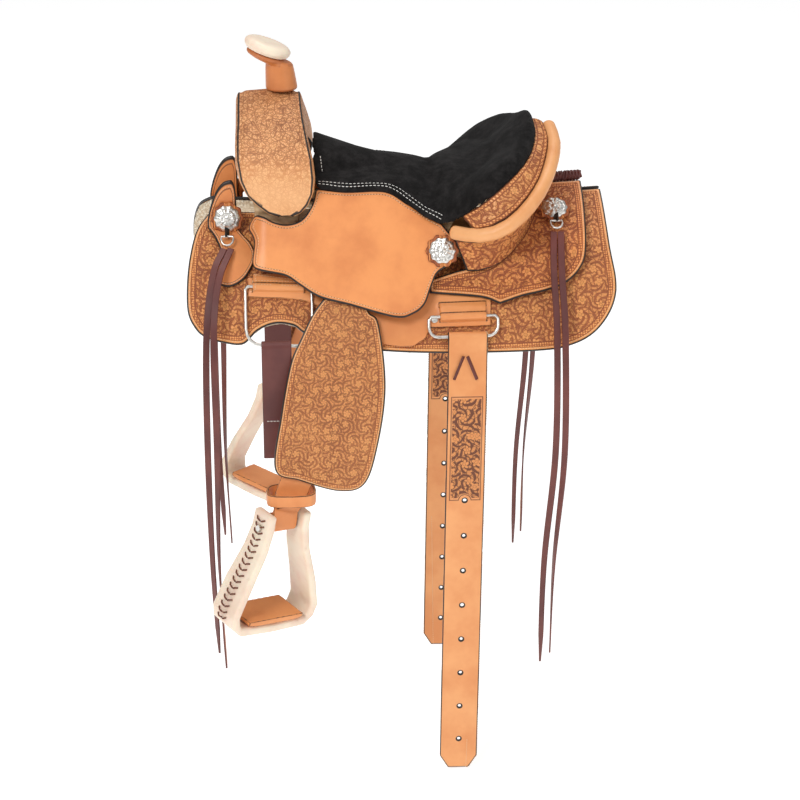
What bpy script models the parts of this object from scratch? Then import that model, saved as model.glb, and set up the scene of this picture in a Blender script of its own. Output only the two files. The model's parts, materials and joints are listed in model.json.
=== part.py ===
"""Western saddle, youth size, with a 13 inch seat.

Metres, +Z up. +X points to the cantle (the horse's tail), -X to the horn and -Y to the rider's left.
The origin is the top of the horse's back under the tree, on the centre line.
Leather panels are cut flat in (x, s) and bent over the back: s runs down the flank from the centre line,
and lift is the height above the horse's back along its normal.
"""
import math

import bmesh
import bpy
from mathutils import Matrix, Vector

# --- horse's back: an arc in the YZ plane, from a ridge slope to a flank slope ---------------------------
RIDGE_SLOPE = math.radians(22)
FLANK_SLOPE = math.radians(74)
FLANK_REACH = 0.245        # length of the arc over which the slope grows
ROCKER = 0.12              # rise of the back towards both ends, per metre squared
BEND_STEP = 0.020          # panels bend in flat strips of this width

# --- thicknesses and clearances ---------------------------------------------------------------------------
GAP = 0.0003
FLEECE = 0.009
SKIRT = 0.004
PLATE = 0.004
LEATHER = 0.004            # jockeys, fenders, straps
COVER = 0.003              # thin covers on the fork and the cantle
BAR = 0.0115

SKIRT_LIFT = FLEECE + GAP
PLATE_LIFT = SKIRT_LIFT + SKIRT + GAP
BAR_LIFT = PLATE_LIFT
BAR_TOP = BAR_LIFT + BAR
PLATE_TOP = PLATE_LIFT + PLATE

# --- tree -------------------------------------------------------------------------------------------------
BAR_FRONT = -0.180
BAR_REAR = 0.222
BAR_INNER = 0.034
BAR_OUTER = 0.100
FORK_FRONT = -0.2035
FORK_REAR = -0.1330
FORK_FOOT_TAPER = 0.014
SWELL_FRONT = -0.208
SWELL_REAR = -0.117
FORK_OUTLINE = [(0.0, 0.148), (0.028, 0.1385), (0.053, 0.1255), (0.076, 0.108), (0.0935, 0.087),
                (0.1000, 0.065), (0.091, 0.042), (0.089, 0.022), (0.086, 0.002), (0.084, -0.0145),
                (0.060, 0.0055), (0.056, 0.030), (0.050, 0.055), (0.040, 0.075), (0.022, 0.088),
                (0.0, 0.092)]

# --- horn -------------------------------------------------------------------------------------------------
HORN_FOOT = Vector((-0.152, 0.0, 0.1580))
HORN_HEAD = Vector((-0.155, 0.0, 0.199))
CAP_CENTRE = Vector((-0.169, 0.0, 0.2115))
NECK_FOOT_RADIUS = 0.0162
NECK_HEAD_RADIUS = 0.0135
CAP_RADIUS = 0.031
CAP_HEIGHT = 0.016
CAP_TILT = math.radians(-20)

# --- seat -------------------------------------------------------------------------------------------------
SEAT_FOCUS = Vector((0.035, 0.0, 0.058))
SEAT_FRONT = -0.112
PAD = 0.012
PAD_EDGE = 0.003
GROUND_SEAT = 0.008
GROUND_SHARE = 0.84
CANTLE_BULGE = 0.014
ROLL_RADIUS = 0.0085

# --- stirrups and straps ----------------------------------------------------------------------------------
FENDER_PIVOT_S = 0.150
FENDER_PIVOT_X = -0.075
FENDER_CLEARANCE = 0.0072
FENDER_UPPER_SLOPE = math.radians(65.5)
FENDER_LOWER_SLOPE = math.radians(84)
FENDER_BEND_START = 0.080
FENDER_BEND_END = 0.160
STIRRUP_LEATHER_WIDTH = 0.040
STIRRUP_HEIGHT = 0.165
STIRRUP_TOP_WIDTH = 0.068
STIRRUP_WIDTH = 0.138
STIRRUP_DEPTH = 0.050
STIRRUP_WALL = 0.012
STIRRUP_YAW = math.radians(36)
STIRRUP_LEAN = math.radians(11)
STIRRUP_BOLT = Vector((-0.164, -0.2085, -0.362))
HOBBLE_PLACE = (-0.150, 0.259)
BOLT_RADIUS = 0.004
TREAD = 0.009
LATIGO_WIDTH = 0.038
LATIGO_BOTTOM = -0.285
BILLET_WIDTH = 0.0508
BILLET_BOTTOM = -0.748
HOLE_PITCH = 0.0508
HOLE_RADIUS = 0.0028
HOLES = 8
WIRE = 0.0023              # radius of the rigging dees' wire

# --- conchos ----------------------------------------------------------------------------------------------
CONCHO_RADIUS = 0.0165
CONCHO_HEIGHT = 0.004
CONCHO_HANG_S = 0.030      # the clips hang along the flank's slope at this s

# Outlines, as (x, s). A third value of 0 marks a corner.
SKIRT_EDGE = [(-0.247, 0.030, 0), (-0.264, 0.061), (-0.273, 0.100), (-0.277, 0.140), (-0.276, 0.174),
              (-0.267, 0.193), (-0.255, 0.203), (-0.233, 0.209), (-0.207, 0.210), (-0.188, 0.193),
              (-0.166, 0.184), (-0.143, 0.186), (-0.127, 0.196), (-0.083, 0.209), (-0.028, 0.217),
              (0.051, 0.221), (0.170, 0.223), (0.208, 0.219), (0.236, 0.208), (0.256, 0.189),
              (0.268, 0.166), (0.271, 0.140), (0.266, 0.090), (0.263, 0.0008, 0), (0.176, 0.0008, 0),
              (0.144, 0.030), (-0.176, 0.030)]
REAR_JOCKEY_EDGE = [(0.031, 0.149, 0), (0.095, 0.156), (0.120, 0.165, 0), (0.149, 0.157), (0.178, 0.152),
                    (0.204, 0.144), (0.224, 0.127), (0.233, 0.104), (0.236, 0.046), (0.236, 0.0008, 0),
                    (0.168, 0.0008, 0), (0.164, 0.040), (0.142, 0.084), (0.106, 0.112), (0.060, 0.124),
                    (0.031, 0.132, 0)]
FRONT_JOCKEY_EDGE = [(-0.214, 0.031), (-0.2245, 0.0275), (-0.238, 0.033), (-0.248, 0.046), (-0.250, 0.060), (-0.240, 0.078),
                     (-0.234, 0.100), (-0.242, 0.131), (-0.225, 0.141), (-0.204, 0.130), (-0.190, 0.104),
                     (-0.194, 0.084), (-0.211, 0.060)]
SEAT_JOCKEY_EDGE = [(0.048, 0.0785, 0), (0.062, 0.094), (0.067, 0.107), (0.059, 0.120), (0.041, 0.130),
                    (0.033, 0.144), (0.023, 0.166), (0.007, 0.177), (-0.015, 0.180), (-0.071, 0.166),
                    (-0.109, 0.157), (-0.134, 0.143), (-0.152, 0.133), (-0.181, 0.128), (-0.192, 0.120),
                    (-0.189, 0.095), (-0.195, 0.078), (-0.187, 0.068), (-0.177, 0.072), (-0.165, 0.077),
                    (-0.148, 0.079), (-0.130, 0.074), (-0.117, 0.060), (-0.111, 0.043, 0),
                    (-0.074, 0.046), (-0.023, 0.046), (0.008, 0.060)]
PLATE_EDGE = [(-0.200, 0.128, 0), (-0.200, 0.153, 0), (-0.124, 0.157), (-0.074, 0.187), (-0.028, 0.209),
              (0.008, 0.212), (0.024, 0.203), (0.031, 0.190), (0.044, 0.190), (0.108, 0.190, 0),
              (0.110, 0.134, 0), (0.000, 0.126)]
BAR_EDGE = [(BAR_FRONT, BAR_INNER + 0.016), (BAR_FRONT, BAR_OUTER - 0.016),
            (BAR_FRONT + 0.018, BAR_OUTER, 0), (BAR_REAR - 0.018, BAR_OUTER, 0),
            (BAR_REAR, BAR_OUTER - 0.016), (BAR_REAR, BAR_INNER + 0.016),
            (BAR_REAR - 0.018, BAR_INNER, 0), (BAR_FRONT + 0.018, BAR_INNER, 0)]

# Outline of a fender, as (x, distance below its pivot).
FENDER_EDGE = [(-0.103, 0.004, 0), (-0.119, 0.026), (-0.134, 0.056), (-0.148, 0.088), (-0.161, 0.150),
               (-0.170, 0.222), (-0.138, 0.238), (-0.088, 0.253), (-0.056, 0.244), (-0.039, 0.195),
               (-0.028, 0.118), (-0.035, 0.040), (-0.047, 0.024), (-0.053, 0.004, 0)]

# Half of the seat's rear edge, from the tip to the centre: the top edge and the rolled edge.
CREST = [(0.087, 0.130, 0.034), (0.120, 0.131, 0.061), (0.148, 0.108, 0.082), (0.164, 0.070, 0.093),
         (0.171, 0.035, 0.107), (0.170, 0.0, 0.115)]
ROLL = [(0.066, 0.128, -0.004), (0.0935, 0.149, -0.004), (0.119, 0.157, 0.003), (0.1455, 0.149, 0.017),
        (0.173, 0.124, 0.041), (0.193, 0.085, 0.066), (0.203, 0.040, 0.085), (0.201, 0.0, 0.098)]
CANTLE_FOOT = [(0.079, 0.125), (0.095, 0.125), (0.122, 0.118), (0.148, 0.096), (0.168, 0.055),
               (0.173, 0.0)]

FRONT_CONCHO = (-0.2250, 0.050)
SEAT_CONCHO = (0.047, 0.107)
REAR_CONCHO = (0.196, 0.049)
FRONT_DEE = (-0.161, 0.141, 0.084, 0.070)      # x of the middle, s of the bar, width, height
REAR_DEE = (0.0725, 0.1780, 0.088, 0.024)
DEE_CLEARANCE = 0.0011
FRONT_LOOP_WIDTH = 0.066
REAR_LOOP_WIDTH = 0.060
BILLET_TOP_X = 0.0775
BILLET_END_X = 0.070
LATIGO_X = -0.165

ARC_RADIUS = FLANK_REACH / (FLANK_SLOPE - RIDGE_SLOPE)

for old in list(bpy.data.objects):
    bpy.data.objects.remove(old, do_unlink=True)
saddle = bpy.data.collections.new("western_saddle")
tools = bpy.data.collections.new("cutters")
for group in (saddle, tools):
    bpy.context.scene.collection.children.link(group)


# === materials ============================================================================================
def material(name, colour, roughness, metallic=0.0):
    made = bpy.data.materials.new(name)
    made.use_nodes = True
    shader = made.node_tree.nodes["Principled BSDF"]
    shader.inputs["Base Color"].default_value = (*colour, 1.0)
    shader.inputs["Roughness"].default_value = roughness
    shader.inputs["Metallic"].default_value = metallic
    return made


TAN = material("tan_leather", (0.60, 0.27, 0.09), 0.45)
TOOLED = material("tooled_leather", (0.52, 0.21, 0.07), 0.5)
PALE = material("pale_tooled_leather", (0.66, 0.36, 0.16), 0.5)
BURGUNDY = material("burgundy_leather", (0.12, 0.03, 0.025), 0.5)
SUEDE = material("black_suede", (0.012, 0.012, 0.013), 0.95)
RAWHIDE = material("rawhide", (0.78, 0.66, 0.52), 0.5)
WOOL = material("fleece", (0.74, 0.62, 0.50), 0.95)
WOOD = material("tree_wood", (0.55, 0.40, 0.24), 0.6)
SILVER = material("silver", (0.80, 0.80, 0.78), 0.25, 1.0)


# === geometry of the back =================================================================================
def ease(value):
    value = min(max(value, 0.0), 1.0)
    return value * value * (3.0 - 2.0 * value)


def slope(s):
    return RIDGE_SLOPE + s / ARC_RADIUS


def exact_back(x, s, lift):
    angle = slope(s)
    y = ARC_RADIUS * (math.sin(angle) - math.sin(RIDGE_SLOPE)) + lift * math.sin(angle)
    z = ARC_RADIUS * (math.cos(angle) - math.cos(RIDGE_SLOPE)) + lift * math.cos(angle)
    return Vector((x, -y, z + ROCKER * x * x))


def back(x, s, lift=0.0):
    """A point on the left flank, on the flat strips that every panel shares."""
    strip = math.floor(s / BEND_STEP)
    share = s / BEND_STEP - strip
    near = exact_back(x, strip * BEND_STEP, lift)
    return near.lerp(exact_back(x, (strip + 1) * BEND_STEP, lift), share)


def back_normal(s):
    return Vector((0.0, -math.sin(slope(s)), math.cos(slope(s))))


def back_down(s):
    return Vector((0.0, -math.cos(slope(s)), -math.sin(slope(s))))


def back_height(x, y, lift):
    """Height of the surface at this lift, over a point of the plan."""
    radius = ARC_RADIUS + lift
    sine = (abs(y) + ARC_RADIUS * math.sin(RIDGE_SLOPE)) / radius
    return radius * math.sqrt(1.0 - sine * sine) - ARC_RADIUS * math.cos(RIDGE_SLOPE) + ROCKER * x * x


def over_tree(x, s):
    """Lift of a jockey's inner face where it runs over the bar and then the rigging plate."""
    high = BAR_TOP + GAP
    low = PLATE_TOP + 0.0006
    return high + (low - high) * ease((s - BAR_OUTER) / 0.040) + 0.0004


def front_lift(x, s):
    """Lift of the front jockey's inner face, which climbs the front of the fork."""
    return PLATE_LIFT + 0.0004 + 0.055 * max(0.0, (0.062 - s) / 0.036) ** 1.5


def seat_lift(x, s):
    """Lift of the seat jockey's inner face: high along the seat, low at the skirt and at the front."""
    waist = ease((x + 0.030) / 0.070)
    front = ease((x + 0.215) / 0.040)
    low = 0.027 + 0.007 * front
    high = low + (0.042 - 0.022 * waist) * front
    start = 0.040 + 0.041 * waist
    fall = min(max((s - start) / (0.150 - start), 0.0), 1.0)
    return low + (high - low) * (1.0 - fall) ** 1.4


# === building blocks ======================================================================================
def smooth_path(points, spacing, closed):
    """Points along a Catmull-Rom curve through the given ones; a trailing 0 marks a corner."""
    count = len(points)
    size = 2 if closed or len(points[0]) == 2 else 3
    nodes = [Vector(p[:size]) for p in points]
    corner = [size == 2 and len(p) == 3 for p in points]
    path = []
    for i in range(count if closed else count - 1):
        a, b = nodes[i], nodes[(i + 1) % count]
        before = nodes[i - 1] if closed or i > 0 else a
        after = nodes[(i + 2) % count] if closed or i + 2 < count else b
        tangent_a = (b - a) if corner[i] else (b - before) * 0.5
        tangent_b = (b - a) if corner[(i + 1) % count] else (after - a) * 0.5
        pieces = max(1, round((b - a).length / spacing))
        for k in range(pieces):
            t = k / pieces
            path.append(a * (2 * t**3 - 3 * t**2 + 1) + tangent_a * (t**3 - 2 * t**2 + t)
                        + b * (3 * t**2 - 2 * t**3) + tangent_b * (t**3 - t**2))
    if not closed:
        path.append(nodes[-1].copy())
    return path


def add_object(name, mesh, finish, group=None):
    made = bpy.data.objects.new(name, mesh)
    (group or saddle).objects.link(made)
    if finish:
        mesh.materials.append(finish)
    return made


def mesh_from(bm, name, smooth_angle=40):
    mesh = bpy.data.meshes.new(name)
    bm.to_mesh(mesh)
    bm.free()
    mesh.shade_smooth()
    mesh.set_sharp_from_angle(angle=math.radians(smooth_angle))
    return mesh


def flat_sheet(outline, step_x=0.09, spacing=0.018):
    """A flat face with this (x, s) outline, cut into the strips along which it bends."""
    bm = bmesh.new()
    bm.faces.new([bm.verts.new((p.x, p.y, 0.0)) for p in smooth_path(outline, spacing, True)])
    for axis, step in ((1, BEND_STEP), (0, step_x)):
        low = min(v.co[axis] for v in bm.verts)
        high = max(v.co[axis] for v in bm.verts)
        normal = Vector((axis == 0, axis == 1, 0))
        for k in range(math.ceil((low + 0.001) / step), math.floor((high - 0.001) / step) + 1):
            everything = bm.verts[:] + bm.edges[:] + bm.faces[:]
            bmesh.ops.bisect_plane(bm, geom=everything, plane_co=normal * (k * step), plane_no=normal)
    bmesh.ops.triangulate(bm, faces=bm.faces[:])
    return bm


def panel(name, outline, place, thickness, finish):
    """A leather panel: place(x, s) puts the flat sheet, Solidify thickens it outwards."""
    bm = flat_sheet(outline)
    for vertex in bm.verts:
        vertex.co = place(vertex.co.x, vertex.co.y)
    bm.normal_update()
    if sum(face.normal.z - face.normal.y for face in bm.faces) < 0:
        bmesh.ops.reverse_faces(bm, faces=bm.faces[:])
    made = add_object(name, mesh_from(bm, name), finish)
    solidify(made, thickness, 1.0)
    return made


def solidify(thing, thickness, offset):
    shell = thing.modifiers.new("thickness", "SOLIDIFY")
    shell.thickness = thickness
    shell.offset = offset


def grid_sheet(name, rows, thickness, finish, offset=-1.0):
    """An open surface through rows of points, thickened."""
    bm = bmesh.new()
    lines = [[bm.verts.new(p) for p in row] for row in rows]
    for a, b in zip(lines, lines[1:]):
        for i in range(len(a) - 1):
            bm.faces.new((a[i], a[i + 1], b[i + 1], b[i]))
    made = add_object(name, mesh_from(bm, name), finish)
    solidify(made, thickness, offset)
    return made


def loft(name, rings, finish, group=None):
    """A closed solid through rings of equal length, with flat ends."""
    bm = bmesh.new()
    lines = [[bm.verts.new(p) for p in ring] for ring in rings]
    count = len(rings[0])
    for a, b in zip(lines, lines[1:]):
        for i in range(count):
            j = (i + 1) % count
            bm.faces.new((a[i], a[j], b[j], b[i]))
    bm.faces.new(reversed(lines[0]))
    bm.faces.new(lines[-1])
    bmesh.ops.recalc_face_normals(bm, faces=bm.faces[:])
    return add_object(name, mesh_from(bm, name), finish, group)


def strap(name, path, width, thickness, finish, width_line=Vector((1, 0, 0)), tip=0.0, group=None):
    """A flat strap along a path. The path is its inner face, thickened to the left of its run."""
    rings = []
    across = width_line
    for i, point in enumerate(path):
        run = path[min(i + 1, len(path) - 1)] - path[max(i - 1, 0)]
        if isinstance(width_line, list):
            across = width_line[i]
        side = (across - run.normalized() * across.dot(run.normalized())).normalized()
        out = side.cross(run).normalized() * thickness
        half = side * width * 0.5
        if tip and i == len(path) - 1:
            half = side * width * 0.5 * tip
        rings.append([point - half, point + half, point + half + out, point - half + out])
    return loft(name, rings, finish, group)


def tube(name, path, radius, finish, cyclic=False, resolution=2, group=None):
    """A round wire as a mesh, with welded ends."""
    curve = bpy.data.curves.new(name, "CURVE")
    curve.dimensions = "3D"
    curve.bevel_depth = radius
    curve.bevel_resolution = resolution
    curve.use_fill_caps = True
    spline = curve.splines.new("POLY")
    spline.points.add(len(path) - 1)
    for point, place in zip(spline.points, path):
        point.co = (*place, 1.0)
    spline.use_cyclic_u = cyclic
    wire = add_object(name + "_wire", curve, None, group)
    bpy.context.view_layer.update()
    mesh = bpy.data.meshes.new_from_object(wire.evaluated_get(bpy.context.evaluated_depsgraph_get()))
    bpy.data.objects.remove(wire, do_unlink=True)
    bm = bmesh.new()
    bm.from_mesh(mesh)
    bmesh.ops.remove_doubles(bm, verts=bm.verts[:], dist=0.00001)
    bmesh.ops.recalc_face_normals(bm, faces=bm.faces[:])
    bm.to_mesh(mesh)
    bm.free()
    mesh.shade_smooth()
    return add_object(name, mesh, finish, group)


def cylinder(name, radius, depth, place, direction, finish, sides=16, group=None, top=None):
    bm = bmesh.new()
    bmesh.ops.create_cone(bm, cap_ends=True, segments=sides, radius1=radius,
                          radius2=radius if top is None else top, depth=depth)
    turn = Vector((0, 0, 1)).rotation_difference(direction).to_matrix().to_4x4()
    bmesh.ops.transform(bm, matrix=Matrix.Translation(place) @ turn, verts=bm.verts[:])
    return add_object(name, mesh_from(bm, name), finish, group)


def combine(base, tool, operation):
    tool.hide_render = True
    tool.display_type = "WIRE"
    cut = base.modifiers.new(operation.lower(), "BOOLEAN")
    cut.operation = operation
    cut.solver = "EXACT"
    cut.object = tool
    return base


def bevel(thing, width, angle=50, segments=2):
    edge = thing.modifiers.new("edge", "BEVEL")
    edge.width = width
    edge.segments = segments
    edge.limit_method = "ANGLE"
    edge.angle_limit = math.radians(angle)
    return thing


def other_side(thing, name):
    """The right-hand copy of a left-hand piece."""
    bpy.context.view_layer.update()
    mesh = bpy.data.meshes.new_from_object(thing.evaluated_get(bpy.context.evaluated_depsgraph_get()))
    mesh.transform(Matrix.Scale(-1, 4, Vector((0, 1, 0))) @ thing.matrix_world)
    mesh.flip_normals()
    return add_object(name, mesh, None)


def pivot_at(thing, point):
    """Move an object's origin to its joint's axis."""
    thing.data.transform(Matrix.Translation(-point))
    thing.location = point
    return thing


# === skirts, fleece, bars, jockeys ========================================================================
def build_panels():
    plain = [
        ("fleece", SKIRT_EDGE, lambda x, s: back(x, s), FLEECE, WOOL),
        ("skirt", SKIRT_EDGE, lambda x, s: back(x, s, SKIRT_LIFT), SKIRT, TOOLED),
        ("tree_bar", BAR_EDGE, lambda x, s: back(x, s, BAR_LIFT), BAR, WOOD),
        ("rear_jockey", REAR_JOCKEY_EDGE, lambda x, s: back(x, s, over_tree(x, s)), LEATHER, TOOLED),
        ("front_jockey", FRONT_JOCKEY_EDGE, lambda x, s: back(x, s, front_lift(x, s)), LEATHER,
         TOOLED),
        ("seat_jockey", SEAT_JOCKEY_EDGE, lambda x, s: back(x, s, seat_lift(x, s)), LEATHER, TAN),
    ]
    for name, outline, place, thickness, finish in plain:
        left = panel(name + "_left", outline, place, thickness, finish)
        other_side(left, name + "_right")


# === rigging plate with its two leather loops =============================================================
def dee_frame(dee):
    """Middle of a dee's bar, direction along it, and the middle of its lower bar."""
    x, s, _, height = dee
    along = Vector((1, 0, 2 * ROCKER * x)).normalized()
    return (exact_back(x, s, PLATE_TOP + DEE_CLEARANCE + WIRE), along,
            exact_back(x, s + height, PLATE_TOP + GAP + WIRE))


def loop_strap(name, dee, width):
    """The strip that folds over a dee's bar; both ends go into the plate."""
    top, along, _ = dee_frame(dee)
    out = back_normal(dee[1])
    down = along.cross(out)
    hollow = WIRE + 0.0007
    sink = WIRE + DEE_CLEARANCE + 0.0020
    path = [top - down * 0.018 - out * sink, top - down * 0.012 - out * (WIRE - 0.0008)]
    path += [top + down * (hollow * math.sin(a)) + out * (hollow * math.cos(a))
             for a in (math.radians(d) for d in range(-90, 91, 30))]
    path += [top + down * 0.0042 - out * sink]
    return strap(name, path, width, 0.0025, None, -along, group=tools)


def build_plates():
    plate = panel("rigging_plate_left", PLATE_EDGE, lambda x, s: back(x, s, PLATE_LIFT), PLATE, TAN)
    combine(plate, loop_strap("front_loop", FRONT_DEE, FRONT_LOOP_WIDTH), "UNION")
    combine(plate, loop_strap("rear_loop", REAR_DEE, REAR_LOOP_WIDTH), "UNION")
    other_side(plate, "rigging_plate_right")


def build_dee(name, dee):
    """A wire dee that follows the flank's curve; its straight bar is the hinge."""
    x, s, width, height = dee
    corner = min(height * 0.5, width * 0.225)
    half = width * 0.5
    outline = [(half * share, 0.0) for share in (0.92, 0.45, 0.0, -0.45, -0.92)] + [(-half, 0.004)]
    for side, turns in ((-1, range(5)), (1, range(4, -1, -1))):
        for k in turns:
            angle = math.radians(22.5 * k)
            outline.append((side * (half - corner * (1 - math.cos(angle))),
                            height - corner * (1 - math.sin(angle))))
    outline.append((half, 0.004))
    path = []
    for across, drop in outline:
        clearance = DEE_CLEARANCE + (GAP - DEE_CLEARANCE) * drop / height
        path.append(exact_back(x + across, s + drop, PLATE_TOP + clearance + WIRE))
    made = tube(name + "_left", path, WIRE, SILVER, cyclic=True)
    right = other_side(made, name + "_right")
    top = dee_frame(dee)[0]
    pivot_at(made, top)
    pivot_at(right, Vector((top.x, -top.y, top.z)))


# === straps that hang on the dees =========================================================================
def hanging_strap(name, foot, x_top, x_end, bottom, width, finish, gap_out, tip=0.55):
    """A strap folded round a dee's lower bar, with its short tail behind and its long end in front."""
    turn = WIRE + 0.0012
    path = [foot + Vector((0, turn * math.cos(a), turn * math.sin(a)))
             for a in (math.radians(d) for d in (0, 45, 90, 135, 180))]
    drop = foot.z - bottom
    for share in (0.05, 0.12, 0.3, 0.5, 0.7, 0.9, 0.97, 1.0):
        path.append(foot + Vector((0, -turn - gap_out * ease(share / 0.15), -drop * share)))
    for point in path:
        point.x = x_top + (x_end - x_top) * max(0.0, (foot.z - point.z) / drop)
    return strap(name, path, width, LEATHER * 0.75, finish, Vector((-1, 0, 0)), tip)


def build_straps():
    latigo_foot = dee_frame(FRONT_DEE)[2]
    latigo = hanging_strap("latigo_left", latigo_foot, LATIGO_X, LATIGO_X, LATIGO_BOTTOM, LATIGO_WIDTH,
                           BURGUNDY, 0.0005, 1.0)
    billet_foot = dee_frame(REAR_DEE)[2]
    billet = hanging_strap("rear_billet_left", billet_foot, BILLET_TOP_X, BILLET_END_X, BILLET_BOTTOM,
                           BILLET_WIDTH, TAN, 0.010)
    lean = (BILLET_END_X - BILLET_TOP_X) / (billet_foot.z - BILLET_BOTTOM)
    for k in range(HOLES):
        z = BILLET_BOTTOM + 0.045 + k * HOLE_PITCH
        place = Vector((BILLET_TOP_X + lean * (billet_foot.z - z), billet_foot.y - 0.015, z))
        cutter = cylinder(f"billet_hole_{k}", HOLE_RADIUS, 0.04, place, Vector((0, 1, 0)), None, 8, tools)
        combine(billet, cutter, "DIFFERENCE")
    for thing, name, foot in ((latigo, "off_billet_right", latigo_foot),
                              (billet, "rear_billet_right", billet_foot)):
        right = other_side(thing, name)
        pivot_at(right, Vector((foot.x, -foot.y, foot.z)))
    for name, foot in (("latigo_left", latigo_foot), ("rear_billet_left", billet_foot)):
        pivot_at(bpy.data.objects[name], foot)


# === fork, swell cover, horn ==============================================================================
def build_fork():
    half = [(y, z) for y, z in FORK_OUTLINE]
    ring = [(-y, z) for y, z in half] + [(y, z) for y, z in reversed(half) if y > 0]
    rings = [[Vector((FORK_FRONT + FORK_FOOT_TAPER * ease((0.085 - z) / 0.05), y, z)) for y, z in ring],
             [Vector((FORK_REAR, y, z)) for y, z in ring]]
    bevel(loft("fork", rings, WOOD), 0.005)


# Stations of the swell cover, from the top to the tip of its tongue:
# y, z, front x, rear x, depth of the front and rear faces.
SWELL = [(0.000, 0.1525, SWELL_FRONT, -0.129, 0.050), (0.030, 0.1430, SWELL_FRONT, -0.128, 0.050),
         (0.0555, 0.1305, SWELL_FRONT, -0.126, 0.048), (0.0800, 0.1125, SWELL_FRONT - 0.001, -0.122, 0.046),
         (0.0985, 0.0900, SWELL_FRONT - 0.001, SWELL_REAR, 0.042),
         (0.1060, 0.0660, SWELL_FRONT + 0.003, SWELL_REAR + 0.002, 0.036),
         (0.1020, 0.046, -0.197, -0.117, 0.008), (0.1012, 0.033, -0.184, -0.123, 0.003),
         (0.1018, 0.024, -0.172, -0.131, 0.003), (0.1030, 0.0185, -0.158, -0.142, 0.003)]


def build_swell_cover():
    stations = [Vector(p) for p in [(y, z) for y, z, *_ in SWELL]]
    rows = []
    for i, (y, z, front, rear, depth) in enumerate(SWELL):
        run = stations[min(i + 1, len(SWELL) - 1)] - stations[max(i - 1, 0)]
        if i == 0:
            run = Vector((1, 0))
        inward = Vector((run.y, -run.x)).normalized()
        radius = min(0.009, (rear - front) * 0.3)
        soft = min(radius, depth * 0.8)
        row = [(front, depth), (front, soft)]
        row += [(front + radius * (1 - math.sin(a)), soft * (1 - math.cos(math.pi / 2 - a)))
                for a in (math.radians(60), math.radians(30))]
        row += [(front + radius, 0.0), ((front + rear) / 2, -0.002), (rear - radius, 0.0)]
        row += [(rear - radius * (1 - math.sin(a)), soft * (1 - math.cos(math.pi / 2 - a)))
                for a in (math.radians(30), math.radians(60))]
        row += [(rear, soft), (rear, depth)]
        rows.append([(x, y + inward.x * d, z + inward.y * d) for x, d in row])
    left = [[Vector((x, -y, z)) for x, y, z in row] for row in reversed(rows)]
    right = [[Vector(p) for p in row] for row in rows[1:]]
    grid_sheet("swell_cover", left + right, COVER - 0.0005, PALE, 1.0)


def ellipse(centre, radius_x, radius_y, tilt=0.0, sides=16):
    ring = []
    for k in range(sides):
        angle = 2 * math.pi * k / sides
        x, y = radius_x * math.cos(angle), radius_y * math.sin(angle)
        ring.append(centre + Vector((x * math.cos(tilt), y, -x * math.sin(tilt))))
    return ring


def build_horn():
    core = NECK_HEAD_RADIUS - 0.006
    loft("horn_core", [ellipse(HORN_FOOT + Vector((0, 0, 0.0035)), core, core),
                       ellipse(HORN_HEAD - Vector((0, 0, 0.009)), core, core)], WOOD)
    up = Vector((math.sin(-CAP_TILT), 0, math.cos(CAP_TILT)))
    rows = []
    for share in (0.0, 0.3, 0.6, 0.8):
        radius = NECK_FOOT_RADIUS + (NECK_HEAD_RADIUS - NECK_FOOT_RADIUS) * share
        ring = ellipse(HORN_FOOT.lerp(HORN_HEAD, share), radius, radius * 0.95, -CAP_TILT * share)
        rows.append(ring + ring[:1])
    for drop, back_shift, radius in ((0.0050, 0.004, 0.0185), (0.0012, 0.001, 0.0235)):
        centre = CAP_CENTRE - up * (CAP_HEIGHT / 2 + drop) + Vector((back_shift, 0, 0))
        ring = ellipse(centre, radius, radius * 0.95, -CAP_TILT)
        rows.append(ring + ring[:1])
    wrap = grid_sheet("horn_wrap", rows, COVER, TAN)
    wrap.data.flip_normals()
    weld(wrap)
    profile = [(-0.5, 0.62), (-0.42, 0.86), (-0.1, 1.0), (0.2, 0.99), (0.42, 0.86), (0.5, 0.6), (0.5, 0.2)]
    loft("horn_cap", [ellipse(CAP_CENTRE + up * (CAP_HEIGHT * h), CAP_RADIUS * r, CAP_RADIUS * r * 0.97,
                              -CAP_TILT, 20) for h, r in profile], RAWHIDE)


def weld(thing):
    bm = bmesh.new()
    bm.from_mesh(thing.data)
    bmesh.ops.remove_doubles(bm, verts=bm.verts[:], dist=0.00001)
    bm.to_mesh(thing.data)
    bm.free()


# === seat =================================================================================================
def seat_side_edge():
    """The seat's side edge lies on the seat jockey's outer face."""
    outer = LEATHER + PAD_EDGE + 0.0022
    places = [(SEAT_FRONT + 0.003, 0.0445), (-0.074, 0.0475), (-0.023, 0.0475), (0.008, 0.0615),
              (0.046, 0.0800)]
    edge = []
    for x, s in places:
        point = back(x, s, seat_lift(x, s) + outer)
        edge.append((point.x, -point.y, point.z))
    return edge


def seat_boundary():
    front = [(SEAT_FRONT, 0.0, 0.098), (SEAT_FRONT, 0.035, 0.088), (SEAT_FRONT, 0.062, 0.060)]
    half = front + seat_side_edge() + CREST
    right = smooth_path(half, 0.020, False)
    left = [Vector((p.x, -p.y, p.z)) for p in reversed(right[1:-1])]
    return right + left


def seat_point(edge, share):
    """A point of the seat's top: share 0 is its lowest point, 1 its edge."""
    rise = edge - SEAT_FOCUS
    rear = ease((edge.x - 0.03) / 0.09)
    power = 1.6 + 0.6 * rear
    ridge = ease((share - 0.6) / 0.32)
    if share > 0.92:
        ridge = math.sqrt(max(0.0, 1 - ((share - 0.92) / 0.08) ** 2))
    z = SEAT_FOCUS.z + rise.z * share ** power + CANTLE_BULGE * rear * ridge
    return Vector((SEAT_FOCUS.x + rise.x * share, rise.y * share, z))


def pad_depth(share):
    return PAD_EDGE + (PAD - PAD_EDGE) * ease((1 - share) / 0.3)


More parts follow.
